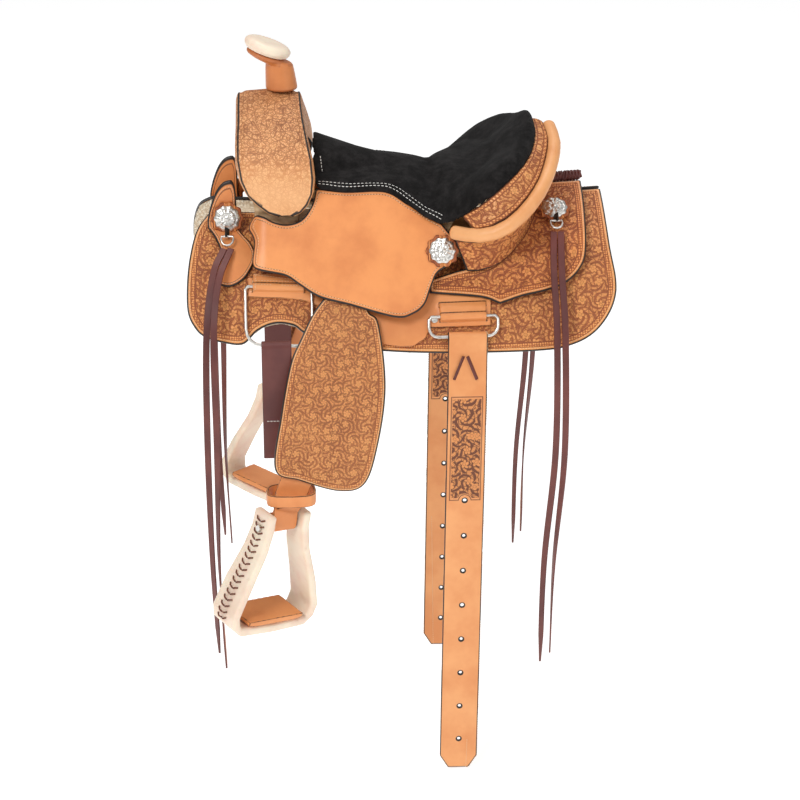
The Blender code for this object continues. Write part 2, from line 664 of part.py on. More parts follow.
def ring_solid(name, boundary, top, under, shares, finish):
    """A closed solid between two surfaces over a star-shaped plan."""
    bm = bmesh.new()
    count = len(boundary)
    layers = []
    for surface in (top, under):
        middle = bm.verts.new(surface(boundary[0], 0.0))
        rings = [[bm.verts.new(surface(edge, share)) for edge in boundary] for share in shares]
        layers.append(rings)
        for i in range(count):
            j = (i + 1) % count
            bm.faces.new((middle, rings[0][i], rings[0][j]))
            for a, b in zip(rings, rings[1:]):
                bm.faces.new((a[i], b[i], b[j], a[j]))
    for i in range(count):
        j = (i + 1) % count
        bm.faces.new((layers[0][-1][i], layers[1][-1][i], layers[1][-1][j], layers[0][-1][j]))
    bmesh.ops.recalc_face_normals(bm, faces=bm.faces[:])
    return add_object(name, mesh_from(bm, name), finish)


def build_seat():
    boundary = seat_boundary()
    ring_solid("seat_pad", boundary, seat_point,
               lambda edge, share: seat_point(edge, share) - Vector((0, 0, pad_depth(share))),
               (0.35, 0.62, 0.80, 0.90, 0.96, 1.0), SUEDE)

    def ground_top(edge, share):
        share *= GROUND_SHARE
        return seat_point(edge, share) - Vector((0, 0, pad_depth(share) + 0.0030))

    def ground_under(edge, share):
        point = ground_top(edge, share)
        on_bars = back_height(point.x, point.y, BAR_TOP) + 0.0008
        shallow = point.z - GROUND_SEAT
        blend = ease((abs(point.y) - 0.032) / 0.016) * (1 - ease((point.x - 0.040) / 0.030))
        point.z = min(shallow, shallow + (on_bars - shallow) * blend)
        return point

    ring_solid("ground_seat", boundary, ground_top, ground_under, (0.3, 0.6, 0.85, 1.0), WOOD)


# === cantle ===============================================================================================
def resample(points, count):
    """Evenly spaced points along a smooth path."""
    fine = smooth_path(points, 0.003, False)
    lengths = [0.0]
    for a, b in zip(fine, fine[1:]):
        lengths.append(lengths[-1] + (b - a).length)
    result = []
    for k in range(count):
        target = lengths[-1] * k / (count - 1)
        i = max(j for j, value in enumerate(lengths) if value <= target + 1e-9)
        i = min(i, len(fine) - 2)
        share = (target - lengths[i]) / (lengths[i + 1] - lengths[i])
        result.append(fine[i].lerp(fine[i + 1], share))
    return result


def both_halves(half):
    """From the left tip round the back to the right tip."""
    return [Vector((p.x, -p.y, p.z)) for p in half] + [p.copy() for p in reversed(half[:-1])]


def on_tree(point):
    """The point over or under this one, just above the rear jockeys."""
    return Vector((point.x, point.y, back_height(point.x, point.y, BAR_TOP + LEATHER + 0.0022)))


def build_cantle():
    count = 15
    tip = seat_side_edge()[-1]
    crest = both_halves(resample([tip] + CREST, count))
    roll = both_halves(resample(ROLL, count))
    foot_line = [tuple(on_tree(Vector((x, y, 0)))) for x, y in CANTLE_FOOT]
    foot = both_halves(resample(foot_line, count))
    inward = [Vector((0.045 - c.x, -c.y, 0)).normalized() for c in crest]
    band, back_rows, board = [], [], []
    for i in range(len(crest)):
        towards_crest = (crest[i] - roll[i]).normalized()
        towards_foot = (foot[i] - roll[i]).normalized()
        start = crest[i] - Vector((0, 0, PAD_EDGE + 0.0022)) + inward[i] * 0.001
        middle = roll[i] + towards_crest * ROLL_RADIUS
        end = middle + towards_crest * (ROLL_RADIUS + 0.0027)
        run = (roll[min(i + 1, len(roll) - 1)] - roll[max(i - 1, 0)]).normalized()
        out = run.cross(start - end).normalized()
        if out.dot(inward[i]) > 0:
            out = -out
        mid = start.lerp(end, 0.5) + out * 0.002
        band.append([start, start.lerp(end, 0.25) + out * 0.0015, mid,
                     start.lerp(end, 0.75) + out * 0.0015, end])
        under = middle + (foot[i] - middle).normalized() * (ROLL_RADIUS + 0.0012)
        back_rows.append([under, under.lerp(foot[i], 0.5), foot[i]])
        low, lower = (on_tree(foot[i] + inward[i] * step) for step in (COVER + 0.0025, COVER + 0.0125))
        board.append([start - out * (COVER + 0.0016) + inward[i] * 0.001,
                      start.lerp(end, 0.86) - out * (COVER + 0.0016) + inward[i] * 0.0015,
                      under.lerp(foot[i], 0.3) + inward[i] * (COVER + 0.0035),
                      low, lower,
                      start.lerp(lower, 0.5) - out * (COVER + 0.0016)])
    grid_sheet("cantle_band", band[2:-2], COVER, TOOLED, -1.0)
    grid_sheet("cantle_back", back_rows, COVER, TOOLED, -1.0)
    loft("cantle_board", board[2:-2], WOOD)
    centres = [r + (c - r).normalized() * ROLL_RADIUS for r, c in zip(roll, crest)]
    tube("cantle_roll", centres, ROLL_RADIUS, TAN)


def build_rear_lacing():
    path = []
    turns = 5
    first, last = 0.190, 0.230
    for k in range(turns * 2 + 1):
        x = first + (last - first) * k / (turns * 2)
        s = 0.004 if k % 2 else 0.010
        side = -1 if (k // 2) % 2 else 1
        point = exact_back(x, s, over_tree(x, s) + LEATHER + 0.0062)
        path.append(Vector((point.x, point.y * side, point.z)))
    tube("rear_lacing", path, 0.002, BURGUNDY)


# === fenders, stirrup leathers, stirrups ==================================================================
def fender_origin():
    return exact_back(FENDER_PIVOT_X, FENDER_PIVOT_S, PLATE_TOP + FENDER_CLEARANCE)


def hang(x, t, out):
    """A point on the hanging fender: t runs down from the pivot, out is the distance off its inner face."""
    start = fender_origin()
    y, z = start.y, start.z
    steps = 24
    angle = FENDER_UPPER_SLOPE
    for k in range(steps):
        middle = t * (k + 0.5) / steps
        bend = min(max((middle - FENDER_BEND_START) / (FENDER_BEND_END - FENDER_BEND_START), 0), 1)
        angle = FENDER_UPPER_SLOPE + (FENDER_LOWER_SLOPE - FENDER_UPPER_SLOPE) * bend
        y -= math.cos(angle) * t / steps
        z -= math.sin(angle) * t / steps
    return Vector((x, y - math.sin(angle) * out, z + math.cos(angle) * out))


def build_fender():
    lift = LEATHER + 2 * GAP
    return panel("fender_left", FENDER_EDGE, lambda x, s: hang(x, s, lift), LEATHER, TOOLED)


LEATHER_LINE = [(-0.076, 0.002), (-0.088, 0.060), (-0.105, 0.130), (-0.131, 0.210), (-0.152, 0.262)]


def build_stirrup_leather():
    """Down behind the fender, turning towards the stirrup's bolt, then round it."""
    line = [hang(x, t, 0.0) for x, t in LEATHER_LINE]
    turn = BOLT_RADIUS + 0.0008
    bolt = STIRRUP_BOLT
    axis = stirrup_matrix().to_3x3() @ Vector((1, 0, 0))
    out = Vector((axis.y, -axis.x, 0)).normalized()
    down = axis.cross(out).normalized()
    around = [bolt + out * (turn * math.cos(a)) + down * (turn * math.sin(a))
              for a in (math.radians(d) for d in (0, 45, 90, 135, 180))]
    path = line + [bolt + out * turn - down * 0.020] + around + [bolt - out * (turn + 0.001) - down * 0.016]
    flat = Vector((-1, 0, 0))
    turns = [flat] * len(line) + [-axis] * 7
    return strap("stirrup_leather_left", path, STIRRUP_LEATHER_WIDTH, LEATHER * 0.85, TAN, turns)


def build_hobble_strap():
    """A closed strap round the leather's neck, above the stirrup."""
    centre = hang(*HOBBLE_PLACE, 0.002)
    half_x, half_y, height = STIRRUP_LEATHER_WIDTH * 0.5 + 0.009, 0.019, 0.016
    outer, inner = [], []
    for k in range(16):
        angle = 2 * math.pi * k / 16
        c, s = math.cos(angle), math.sin(angle)
        shape = Vector((math.copysign(abs(c) ** 0.6, c), math.copysign(abs(s) ** 0.6, s), 0))
        outer.append(centre + Vector((shape.x * (half_x + 0.003), shape.y * (half_y + 0.003), 0)))
        inner.append(centre + Vector((shape.x * half_x, shape.y * half_y, 0)))
    bm = bmesh.new()
    rings = []
    for ring, z in ((outer, -height / 2), (outer, height / 2), (inner, height / 2), (inner, -height / 2)):
        rings.append([bm.verts.new(p + Vector((0, 0, z))) for p in ring])
    for a, b in zip(rings, rings[1:] + rings[:1]):
        for i in range(16):
            j = (i + 1) % 16
            bm.faces.new((a[i], a[j], b[j], b[i]))
    bmesh.ops.recalc_face_normals(bm, faces=bm.faces[:])
    return add_object("hobble_strap_left", mesh_from(bm, "hobble_strap"), TAN)


def stirrup_matrix():
    return (Matrix.Translation(STIRRUP_BOLT) @ Matrix.Rotation(STIRRUP_LEAN, 4, "Y")
            @ Matrix.Rotation(STIRRUP_YAW, 4, "Z"))


def stirrup_outline(inset):
    """Half of the stirrup's front view, from the top of a branch to the middle of the tread."""
    top, wide = STIRRUP_TOP_WIDTH / 2, STIRRUP_WIDTH / 2
    low = -STIRRUP_HEIGHT + 0.022
    return [(top - inset, 0.022), (top - inset, 0.0), (top + 0.006 - inset, -0.030),
            (wide - 0.012 - inset, -0.075), (wide - inset, low + 0.028), (wide - 0.004 - inset, low + 0.012),
            (wide - 0.018 - inset * 0.8, low + inset), (0.0, low + inset - 0.002)]


def build_stirrup():
    rings = []
    wall = STIRRUP_WALL
    outer, inner = stirrup_outline(0.0), stirrup_outline(wall)
    pairs = list(zip(outer, inner))
    loop = [((-a[0], a[1]), (-b[0], b[1])) for a, b in pairs] + list(reversed(pairs[:-1]))
    for (ox, oz), (ix, iz) in loop:
        depth = STIRRUP_DEPTH * (0.36 + 0.14 * ease((0.02 - oz) / 0.12))
        rings.append([Vector((ox, -depth, oz)), Vector((ox, depth, oz)),
                      Vector((ix, depth, iz)), Vector((ix, -depth, iz))])
    stirrup = loft("stirrup_left", rings, RAWHIDE)
    hole = cylinder("bolt_hole", BOLT_RADIUS + GAP, STIRRUP_TOP_WIDTH + 0.02, Vector((0, 0, 0)),
                    Vector((1, 0, 0)), None, 12, tools)
    bevel(stirrup, 0.0025, 50, 1)
    combine(stirrup, hole, "DIFFERENCE")
    low = -STIRRUP_HEIGHT + 0.022 + STIRRUP_WALL
    half = STIRRUP_WIDTH / 2 - STIRRUP_WALL - 0.014
    tread = loft("stirrup_tread_left",
                 [[Vector((x, -STIRRUP_DEPTH / 2 - 0.002, low + 0.0012 + lift)),
                   Vector((x, STIRRUP_DEPTH / 2 + 0.002, low + 0.0012 + lift)),
                   Vector((x, STIRRUP_DEPTH / 2 + 0.002, low + TREAD)),
                   Vector((x, -STIRRUP_DEPTH / 2 - 0.002, low + TREAD))]
                  for x, lift in ((-half, 0.002), (-half * 0.7, 0), (half * 0.7, 0), (half, 0.002))], TAN)
    bolt = cylinder("stirrup_bolt_left", BOLT_RADIUS, STIRRUP_TOP_WIDTH + 0.006, Vector((0, 0, 0)),
                    Vector((1, 0, 0)), SILVER, 12)
    for thing in (stirrup, tread, bolt, hole):
        thing.matrix_world = stirrup_matrix()
    return stirrup, tread, bolt


def build_stirrup_side():
    hinge = fender_origin()
    for thing in (build_fender(), build_stirrup_leather(), build_hobble_strap()):
        right = other_side(thing, thing.name.replace("_left", "_right"))
        pivot_at(right, Vector((hinge.x, -hinge.y, hinge.z)))
        pivot_at(thing, hinge)
    for thing in build_stirrup():
        right = other_side(thing, thing.name.replace("_left", "_right"))
        pivot_at(right, Vector((STIRRUP_BOLT.x, -STIRRUP_BOLT.y, STIRRUP_BOLT.z)))


# === conchos and strings ==================================================================================
def hanger_line(place, normal):
    """Direction in which the clip and dee hang from a concho, clear of the flank below."""
    flank = back_down(CONCHO_HANG_S)
    along = Vector((0, -normal.z, normal.y))
    return (along.normalized() if along.dot(flank) > 0.999 else (along + flank * 1.6)).normalized()


def concho(name, place, normal, with_ring):
    lathe = [(0.05, 1.0), (0.45, 0.95), (0.8, 0.72), (1.0, 0.35), (1.0, 0.0)]
    turn = Vector((0, 0, 1)).rotation_difference(normal).to_matrix().to_4x4()
    rings = [ellipse(Vector((0, 0, CONCHO_HEIGHT * h)), CONCHO_RADIUS * r, CONCHO_RADIUS * r)
             for r, h in lathe]
    disc = loft(name, rings, SILVER)
    disc.matrix_world = Matrix.Translation(place) @ turn
    if with_ring:
        down = hanger_line(place, normal)
        tab = place + normal * 0.0010 + down * (CONCHO_RADIUS + 0.001)
        inside = place + normal * 0.0010 + down * 0.003
        box = strap(name + "_tab", [inside, tab, tab + down * 0.010],
                    0.009, 0.0022, None, Vector((-1, 0, 0)), group=tools)
        ring_top = tab + down * 0.0085 + normal * 0.0012
        path = []
        for k in range(12):
            angle = 2 * math.pi * k / 12
            path.append(ring_top + Vector((0.009 * math.sin(angle), 0, 0)) + down * (0.006 - 0.006 * math.cos(angle)))
        ring = tube(name + "_ring", path, 0.0014, None, cyclic=True, group=tools)
        combine(disc, box, "UNION")
        combine(disc, ring, "UNION")
    return disc


# Routes of the saddle strings on the left, below their dees: each hangs in two strands.
STRINGS = {
    "front_string_a": [(-0.243, -0.130, -0.050), (-0.252, -0.172, -0.115), (-0.255, -0.184, -0.250),
                       (-0.254, -0.184, -0.420), (-0.249, -0.182, -0.560)],
    "front_string_b": [(-0.236, -0.140, -0.055), (-0.243, -0.181, -0.115), (-0.243, -0.193, -0.250),
                       (-0.245, -0.193, -0.420), (-0.240, -0.191, -0.578)],
    "rear_string_a": [(0.189, -0.132, -0.052), (0.190, -0.176, -0.125), (0.191, -0.184, -0.280),
                      (0.180, -0.184, -0.435), (0.178, -0.183, -0.584)],
    "rear_string_b": [(0.199, -0.136, -0.056), (0.200, -0.180, -0.125), (0.202, -0.190, -0.280),
                      (0.192, -0.190, -0.435), (0.190, -0.189, -0.568)],
}
STRING_RADIUS = 0.0035


def build_strings(ring_feet):
    for name, route in STRINGS.items():
        start = ring_feet[name[:-2]] + Vector((0.0045 if name.endswith("b") else -0.0045, 0, 0))
        path = smooth_path([tuple(start)] + route, 0.021, False)
        strand = tube(name + "_left", path, STRING_RADIUS, BURGUNDY)
        other_side(strand, name + "_right")


def build_conchos_and_strings():
    places = [("front_concho", FRONT_CONCHO, front_lift, True),
              ("rear_concho", REAR_CONCHO, over_tree, True),
              ("seat_concho", SEAT_CONCHO, seat_lift, False)]
    ring_feet = {}
    for name, (x, s), lift, with_ring in places:
        step = 0.010
        along = back(x, s + step, lift(x, s + step)) - back(x, s - step, lift(x, s - step))
        normal = Vector((1, 0, 0)).cross(along).normalized()
        normal = normal if normal.z > 0 else -normal
        place = back(x, s, lift(x, s)) + normal * (LEATHER + (0.0052 if with_ring else 0.0018))
        other_side(concho(name + "_left", place, normal, with_ring), name + "_right")
        down = hanger_line(place, normal)
        foot = place + down * (CONCHO_RADIUS + 0.026) + back_normal(s) * 0.005
        ring_feet[name.replace("concho", "string")] = foot
    build_strings(ring_feet)


for build in (build_panels, build_plates, build_fork, build_swell_cover, build_horn, build_seat,
              build_cantle, build_rear_lacing, build_straps, build_stirrup_side,
              build_conchos_and_strings):
    build()
build_dee("front_dee", FRONT_DEE)
build_dee("rear_dee", REAR_DEE)
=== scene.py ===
# %% [markdown]
# # A western saddle
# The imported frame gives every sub-part its place. This lesson dresses it: each leather panel
# is worked into a smooth skin with carved, stitched and blackened edges, the seat is padded,
# and the silver, the rawhide and the lacing are made new.

# %% Load the frame and keep its box
import json
import math

import bmesh
import bpy
import numpy as np
from mathutils import Matrix, Vector, kdtree
from mathutils.bvhtree import BVHTree
from mathutils.geometry import delaunay_2d_cdt


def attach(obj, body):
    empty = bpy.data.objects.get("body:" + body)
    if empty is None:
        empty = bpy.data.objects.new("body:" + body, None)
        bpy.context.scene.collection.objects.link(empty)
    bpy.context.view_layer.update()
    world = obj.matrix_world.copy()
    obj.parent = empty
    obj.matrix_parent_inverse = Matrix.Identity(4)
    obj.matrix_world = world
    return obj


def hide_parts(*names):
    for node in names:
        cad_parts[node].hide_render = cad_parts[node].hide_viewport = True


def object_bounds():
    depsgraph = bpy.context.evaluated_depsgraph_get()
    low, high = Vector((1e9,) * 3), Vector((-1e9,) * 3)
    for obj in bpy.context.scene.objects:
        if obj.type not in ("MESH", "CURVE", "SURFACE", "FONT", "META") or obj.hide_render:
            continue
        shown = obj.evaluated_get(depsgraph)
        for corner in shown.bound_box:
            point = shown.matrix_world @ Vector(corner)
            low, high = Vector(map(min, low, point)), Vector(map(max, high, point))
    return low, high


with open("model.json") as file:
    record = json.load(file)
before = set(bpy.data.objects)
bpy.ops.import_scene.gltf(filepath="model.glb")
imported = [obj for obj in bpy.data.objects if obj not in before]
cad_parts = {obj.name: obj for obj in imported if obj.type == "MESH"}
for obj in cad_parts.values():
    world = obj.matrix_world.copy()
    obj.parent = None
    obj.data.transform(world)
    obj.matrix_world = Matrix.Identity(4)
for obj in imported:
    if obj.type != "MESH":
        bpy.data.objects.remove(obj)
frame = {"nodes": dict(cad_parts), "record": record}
cad_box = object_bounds()
BODY_OF = {node: body for body, nodes in frame["record"]["behaviour"]["bodies"].items() for node in nodes}

# %% [markdown]
# ## The view
# A long lens from the rider's left keeps the proportions of a product picture.

# %% Camera
LOOK_AT = Vector((0.0, 0.0, -0.277))
AZIMUTH, ELEVATION, DISTANCE = math.radians(-3), math.radians(22), 3.0
away = Vector((math.sin(AZIMUTH) * math.cos(ELEVATION), -math.cos(AZIMUTH) * math.cos(ELEVATION),
               math.sin(ELEVATION)))
camera_data = bpy.data.cameras.new("camera")
camera_data.lens = 99.26
camera_data.sensor_width = 36.0
camera = bpy.data.objects.new("camera", camera_data)
camera.location = LOOK_AT + away * DISTANCE
camera.rotation_euler = (-away).to_track_quat("-Z", "Y").to_euler()
bpy.context.scene.collection.objects.link(camera)
bpy.context.scene.camera = camera

# %% [markdown]
# ## The shape of the horse's back
# The panels bend over one arc. Its numbers let stitches, lace and conchos find the leather.

# %% Back arc
RIDGE_SLOPE = math.radians(22)
FLANK_SLOPE = math.radians(74)
ARC_RADIUS = 0.245 / (FLANK_SLOPE - RIDGE_SLOPE)
ROCKER = 0.12
BAR_TOP, PLATE_LIFT, PLATE_TOP, LEATHER = 0.0251, 0.0136, 0.0176, 0.004


def ease(value):
    value = min(max(value, 0.0), 1.0)
    return value * value * (3.0 - 2.0 * value)


def on_back(x, s, lift):
    angle = RIDGE_SLOPE + s / ARC_RADIUS
    y = ARC_RADIUS * (math.sin(angle) - math.sin(RIDGE_SLOPE)) + lift * math.sin(angle)
    z = ARC_RADIUS * (math.cos(angle) - math.cos(RIDGE_SLOPE)) + lift * math.cos(angle)
    return Vector((x, -y, z + ROCKER * x * x))


def back_down(s):
    angle = RIDGE_SLOPE + s / ARC_RADIUS
    return Vector((0.0, -math.cos(angle), -math.sin(angle)))


def over_tree(x, s):
    low = PLATE_TOP + 0.0006
    return BAR_TOP + 0.0003 + (low - BAR_TOP - 0.0003) * ease((s - 0.100) / 0.040) + 0.0004


def front_lift(x, s):
    return PLATE_LIFT + 0.0004 + 0.055 * max(0.0, (0.062 - s) / 0.036) ** 1.5


def seat_lift(x, s):
    waist = ease((x + 0.030) / 0.070)
    front = ease((x + 0.215) / 0.040)
    low = 0.027 + 0.007 * front
    high = low + (0.042 - 0.022 * waist) * front
    start = 0.040 + 0.041 * waist
    fall = min(max((s - start) / (0.150 - start), 0.0), 1.0)
    return low + (high - low) * (1.0 - fall) ** 1.4


def mirrored(point):
    return Vector((point[0], -point[1], point[2]))


# %% [markdown]
# ## A small kit for finishes
# A node tree is easier to read as sums.

# %% Finish kit
class Finish:
    def __init__(self, name):
        self.material = bpy.data.materials.new(name)
        self.material.use_nodes = True
        self.tree = self.material.node_tree
        self.shader = self.tree.nodes["Principled BSDF"]

    def plug(self, socket, value):
        if isinstance(value, bpy.types.NodeSocket):
            self.tree.links.new(value, socket)
        else:
            socket.default_value = value

    def node(self, kind, inputs, **settings):
        made = self.tree.nodes.new(kind)
        for key, value in settings.items():
            setattr(made, key, value)
        for key, value in inputs.items():
            self.plug(made.inputs[key], value)
        return made

    def sum(self, operation, *values, clamp=False):
        made = self.node("ShaderNodeMath", dict(enumerate(values)), operation=operation)
        made.use_clamp = clamp
        return made.outputs[0]

    def step(self, value, low, high):
        made = self.node("ShaderNodeMapRange", {0: value, 1: low, 2: high, 3: 0.0, 4: 1.0},
                         interpolation_type="SMOOTHSTEP")
        return made.outputs[0]

    def between(self, value, low, high, soft):
        up = self.step(value, low - soft, low + soft)
        down = self.step(value, high + soft, high - soft)
        return self.sum("MULTIPLY", up, down)

    def mix(self, share, first, second):
        made = self.tree.nodes.new("ShaderNodeMix")
        made.data_type = "RGBA"
        for index, value in ((0, share), (6, first), (7, second)):
            self.plug(made.inputs[index], value)
        return made.outputs[2]

    def place(self):
        return self.node("ShaderNodeTexCoord", {}).outputs["Object"]

    def flat(self):
        """The panel's own sheet: across, down and the distance to its edge, in metres."""
        return self.node("ShaderNodeAttribute", {}, attribute_name="sheet").outputs["Vector"]

    def split(self, vector):
        return self.node("ShaderNodeSeparateXYZ", {0: vector}).outputs

    def scaled(self, vector, factor):
        return self.node("ShaderNodeVectorMath", {0: vector, "Scale": factor}, operation="SCALE").outputs[0]

    def noise(self, where, scale, detail=4.0, rough=0.55, output="Fac"):
        made = self.node("ShaderNodeTexNoise", {"Vector": where, "Scale": scale, "Detail": detail,
                                                "Roughness": rough})
        return made.outputs[output]

    def cells(self, where, scale, feature="F1", flat=True, randomness=1.0):
        made = self.node("ShaderNodeTexVoronoi", {}, feature=feature,
                         voronoi_dimensions="2D" if flat else "3D")
        self.plug(made.inputs["Vector"], where)
        self.plug(made.inputs["Scale"], scale)
        self.plug(made.inputs["Randomness"], randomness)
        return made.outputs

    def bump(self, height, strength, distance, below=None):
        inputs = {"Height": height, "Strength": strength, "Distance": distance}
        if below is not None:
            inputs["Normal"] = below
        return self.node("ShaderNodeBump", inputs).outputs[0]

    def finish(self, colour, rough, normal=None):
        self.plug(self.shader.inputs["Base Color"], colour)
        self.plug(self.shader.inputs["Roughness"], rough)
        if normal is not None:
            self.plug(self.shader.inputs["Normal"], normal)
        return self.material


def tint(red, green, blue):
    return (red, green, blue, 1.0)


# %% [markdown]
# ## Carved leather
# A saddle maker swings a swivel knife round flowers and scrolling leaves, then mats the
# background down with stamps and antiques it dark. Each cell of a loose pattern holds one
# flower: its petals, its veins and the leaves that turn around it come from the angle and
# the distance to the middle. The edge distance gives the border rows.

# %% Carved leather
EDGE_BLACK = tint(0.012, 0.008, 0.006)


def carving(f, flat, size):
    """Height of the flower carving, 0 in the matted ground and 1 on a petal."""
    wander = f.node("ShaderNodeVectorMath", {0: f.noise(flat, 45.0, 2.0, 0.5, "Color"),
                                             1: (0.5, 0.5, 0.5)}, operation="SUBTRACT").outputs[0]
    moved = f.node("ShaderNodeVectorMath", {0: flat, 1: f.scaled(wander, size * 0.35)},
                   operation="ADD").outputs[0]
    grid = f.scaled(moved, 1.0 / size)
    flower = f.cells(grid, 1.0, randomness=0.75)
    local = f.node("ShaderNodeVectorMath", {0: grid, 1: flower["Position"]}, operation="SUBTRACT").outputs[0]
    across, down, _ = f.split(local)
    chance = f.node("ShaderNodeSeparateColor", {0: flower["Color"]}).outputs
    radius = f.sum("SQRT", f.sum("ADD", f.sum("MULTIPLY", across, across), f.sum("MULTIPLY", down, down)))
    angle = f.sum("MULTIPLY_ADD", chance[0], 6.283, f.sum("ARCTAN2", down, across))
    lobes = f.sum("ABSOLUTE", f.sum("COSINE", f.sum("MULTIPLY", angle, 2.5)))
    reach = f.sum("MULTIPLY_ADD", lobes, 0.13, 0.15)
    petal = f.step(f.sum("SUBTRACT", reach, radius), -0.015, 0.045)
    middle = f.step(radius, 0.085, 0.06)
    ring = f.between(radius, 0.085, 0.10, 0.01)
    vein = f.step(f.sum("ABSOLUTE", f.sum("SINE", f.sum("MULTIPLY", angle, 12.5))), 0.15, 0.6)
    swirl = f.sum("SINE", f.sum("MULTIPLY_ADD", radius, -17.0,
                                f.sum("MULTIPLY_ADD", chance[1], 6.283, f.sum("MULTIPLY", angle, 5.0))))
    leaf = f.step(swirl, -0.35, 0.25)
    leaf_vein = f.step(f.sum("ABSOLUTE", f.sum("SUBTRACT", swirl, 0.72)), 0.03, 0.14)
    edge = f.cells(grid, 3.1, "DISTANCE_TO_EDGE", randomness=0.9)["Distance"]
    cut = f.step(edge, 0.02, 0.085)
    leaves = f.sum("MULTIPLY", f.sum("MULTIPLY", leaf, leaf_vein), cut)
    flowers = f.sum("MULTIPLY", petal, f.sum("MULTIPLY_ADD", vein, 0.35, 0.65))
    height = f.sum("MAXIMUM", f.sum("MULTIPLY", leaves, 0.8), flowers)
    around = f.between(f.sum("SUBTRACT", reach, radius), -0.055, -0.01, 0.012)
    height = f.sum("MULTIPLY", height, f.sum("SUBTRACT", 1.0, f.sum("MULTIPLY", around, 0.85)))
    height = f.sum("MULTIPLY", height, f.sum("SUBTRACT", 1.0, ring))
    return f.sum("MAXIMUM", height, f.sum("MULTIPLY", middle, 0.75), clamp=True)


def beads(f, flat, pitch):
    distance = f.cells(flat, 1.0 / pitch, randomness=0.25)["Distance"]
    return f.step(distance, 0.5, 0.22)


def carved_leather(name, light, mid, dark, size, margin=0.0055, band=0.0045, relief=0.0009):
    f = Finish(name)
    flat, place = f.flat(), f.place()
    rim = f.split(flat)[2]
    carve = carving(f, flat, size)
    matting = beads(f, flat, 0.0017)
    ground = f.sum("MULTIPLY", f.sum("SUBTRACT", 1.0, carve), matting)
    field = f.sum("MULTIPLY_ADD", ground, 0.22, carve)
    row = f.sum("MULTIPLY_ADD", beads(f, flat, 0.0031), 0.75, 0.15)
    in_row = f.between(rim, margin, margin + band, 0.0002)
    in_field = f.step(rim, margin + band + 0.0010, margin + band + 0.0016)
    lines = f.sum("ADD", f.between(rim, margin - 0.0007, margin - 0.0001, 0.0003),
                  f.between(rim, margin + band + 0.0003, margin + band + 0.0009, 0.0003))
    height = f.sum("ADD", f.sum("MULTIPLY", field, in_field), f.sum("MULTIPLY", row, in_row))
    plain = f.sum("MULTIPLY", f.step(rim, margin, margin - 0.0006), 0.85)
    height = f.sum("MAXIMUM", f.sum("ADD", height, plain), 0.0)
    height = f.sum("MULTIPLY", height, f.sum("SUBTRACT", 1.0, f.sum("MULTIPLY", lines, 0.9)))
    mottle = f.noise(place, 38.0, 5.0, 0.6)
    fine = f.noise(place, 900.0, 3.0, 0.6)
    shade = f.sum("MULTIPLY_ADD", f.sum("SUBTRACT", mottle, 0.5), 0.55, height)
    ramp = f.node("ShaderNodeValToRGB", {0: shade})
    stops = ramp.color_ramp.elements
    stops[0].position, stops[0].color = 0.02, dark
    stops[1].position, stops[1].color = 0.92, light
    middle = stops.new(0.42)
    middle.color = mid
    colour = f.mix(f.step(rim, 0.0027, 0.0017), ramp.outputs[0], EDGE_BLACK)
    grain = f.sum("MULTIPLY_ADD", fine, 0.06, height)
    normal = f.bump(grain, 0.9, relief)
    rough = f.sum("MULTIPLY_ADD", f.sum("SUBTRACT", 1.0, height), 0.28, 0.36)
    f.shader.inputs["Specular IOR Level"].default_value = 0.45
    return f.finish(colour, rough, normal)


CARVED = carved_leather("carved_leather", tint(0.83, 0.36, 0.115), tint(0.60, 0.190, 0.052),
                        tint(0.24, 0.062, 0.020), 0.020)
CARVED_DEEP = carved_leather("carved_jockey_leather", tint(0.80, 0.32, 0.095), tint(0.58, 0.165, 0.040),
                             tint(0.23, 0.055, 0.016), 0.021)
CARVED_FINE = carved_leather("carved_fender_leather", tint(0.82, 0.37, 0.125), tint(0.62, 0.215, 0.064),
                             tint(0.27, 0.080, 0.027), 0.016, margin=0.0045, band=0.0036)
CARVED_CANTLE = carved_leather("carved_cantle_leather", tint(0.84, 0.38, 0.13), tint(0.62, 0.21, 0.060),
                               tint(0.25, 0.066, 0.020), 0.017, margin=0.0025, band=0.0028)
CARVED_BACK = carved_leather("carved_back_leather", tint(0.80, 0.33, 0.10), tint(0.58, 0.175, 0.045),
                             tint(0.23, 0.055, 0.016), 0.021, margin=-0.010, band=0.0)


# %% [markdown]
# ## Smooth, stamped and soft finishes
# Oiled skirting leather is orange-tan, a little blotched, with a burnished black edge.
# The fork's cover is stamped all over with small tools, more deeply near the top.

# %% Smooth leather
def smooth_leather(name, light, dark, stitch=None, edge=EDGE_BLACK, rough=0.38, edge_width=0.0016):
    f = Finish(name)
    flat, place = f.flat(), f.place()
    rim = f.split(flat)[2]
    mottle = f.noise(place, 11.0, 5.0, 0.6)
    clouds = f.step(mottle, 0.34, 0.68)
    colour = f.mix(clouds, light, dark)
    pores = f.cells(place, 1500.0, "F1", False)["Distance"]
    wrinkle = f.noise(place, 260.0, 4.0, 0.6)
    height = f.sum("MULTIPLY_ADD", pores, 0.5, wrinkle)
    if stitch:
        # The stitch groove is sunk by the bump and also painted dark: painted shade along the groove.
        groove = f.between(rim, stitch - 0.0004, stitch + 0.0004, 0.0003)
        colour = f.mix(f.sum("MULTIPLY", groove, 0.75), colour, tint(0.10, 0.035, 0.015))
        height = f.sum("SUBTRACT", height, f.sum("MULTIPLY", groove, 3.0))
    colour = f.mix(f.step(rim, edge_width + 0.0009, edge_width), colour, edge)
    normal = f.bump(height, 0.35, 0.0003)
    roughness = f.sum("MULTIPLY_ADD", mottle, 0.22, rough - 0.08)
    return f.finish(colour, roughness, normal)


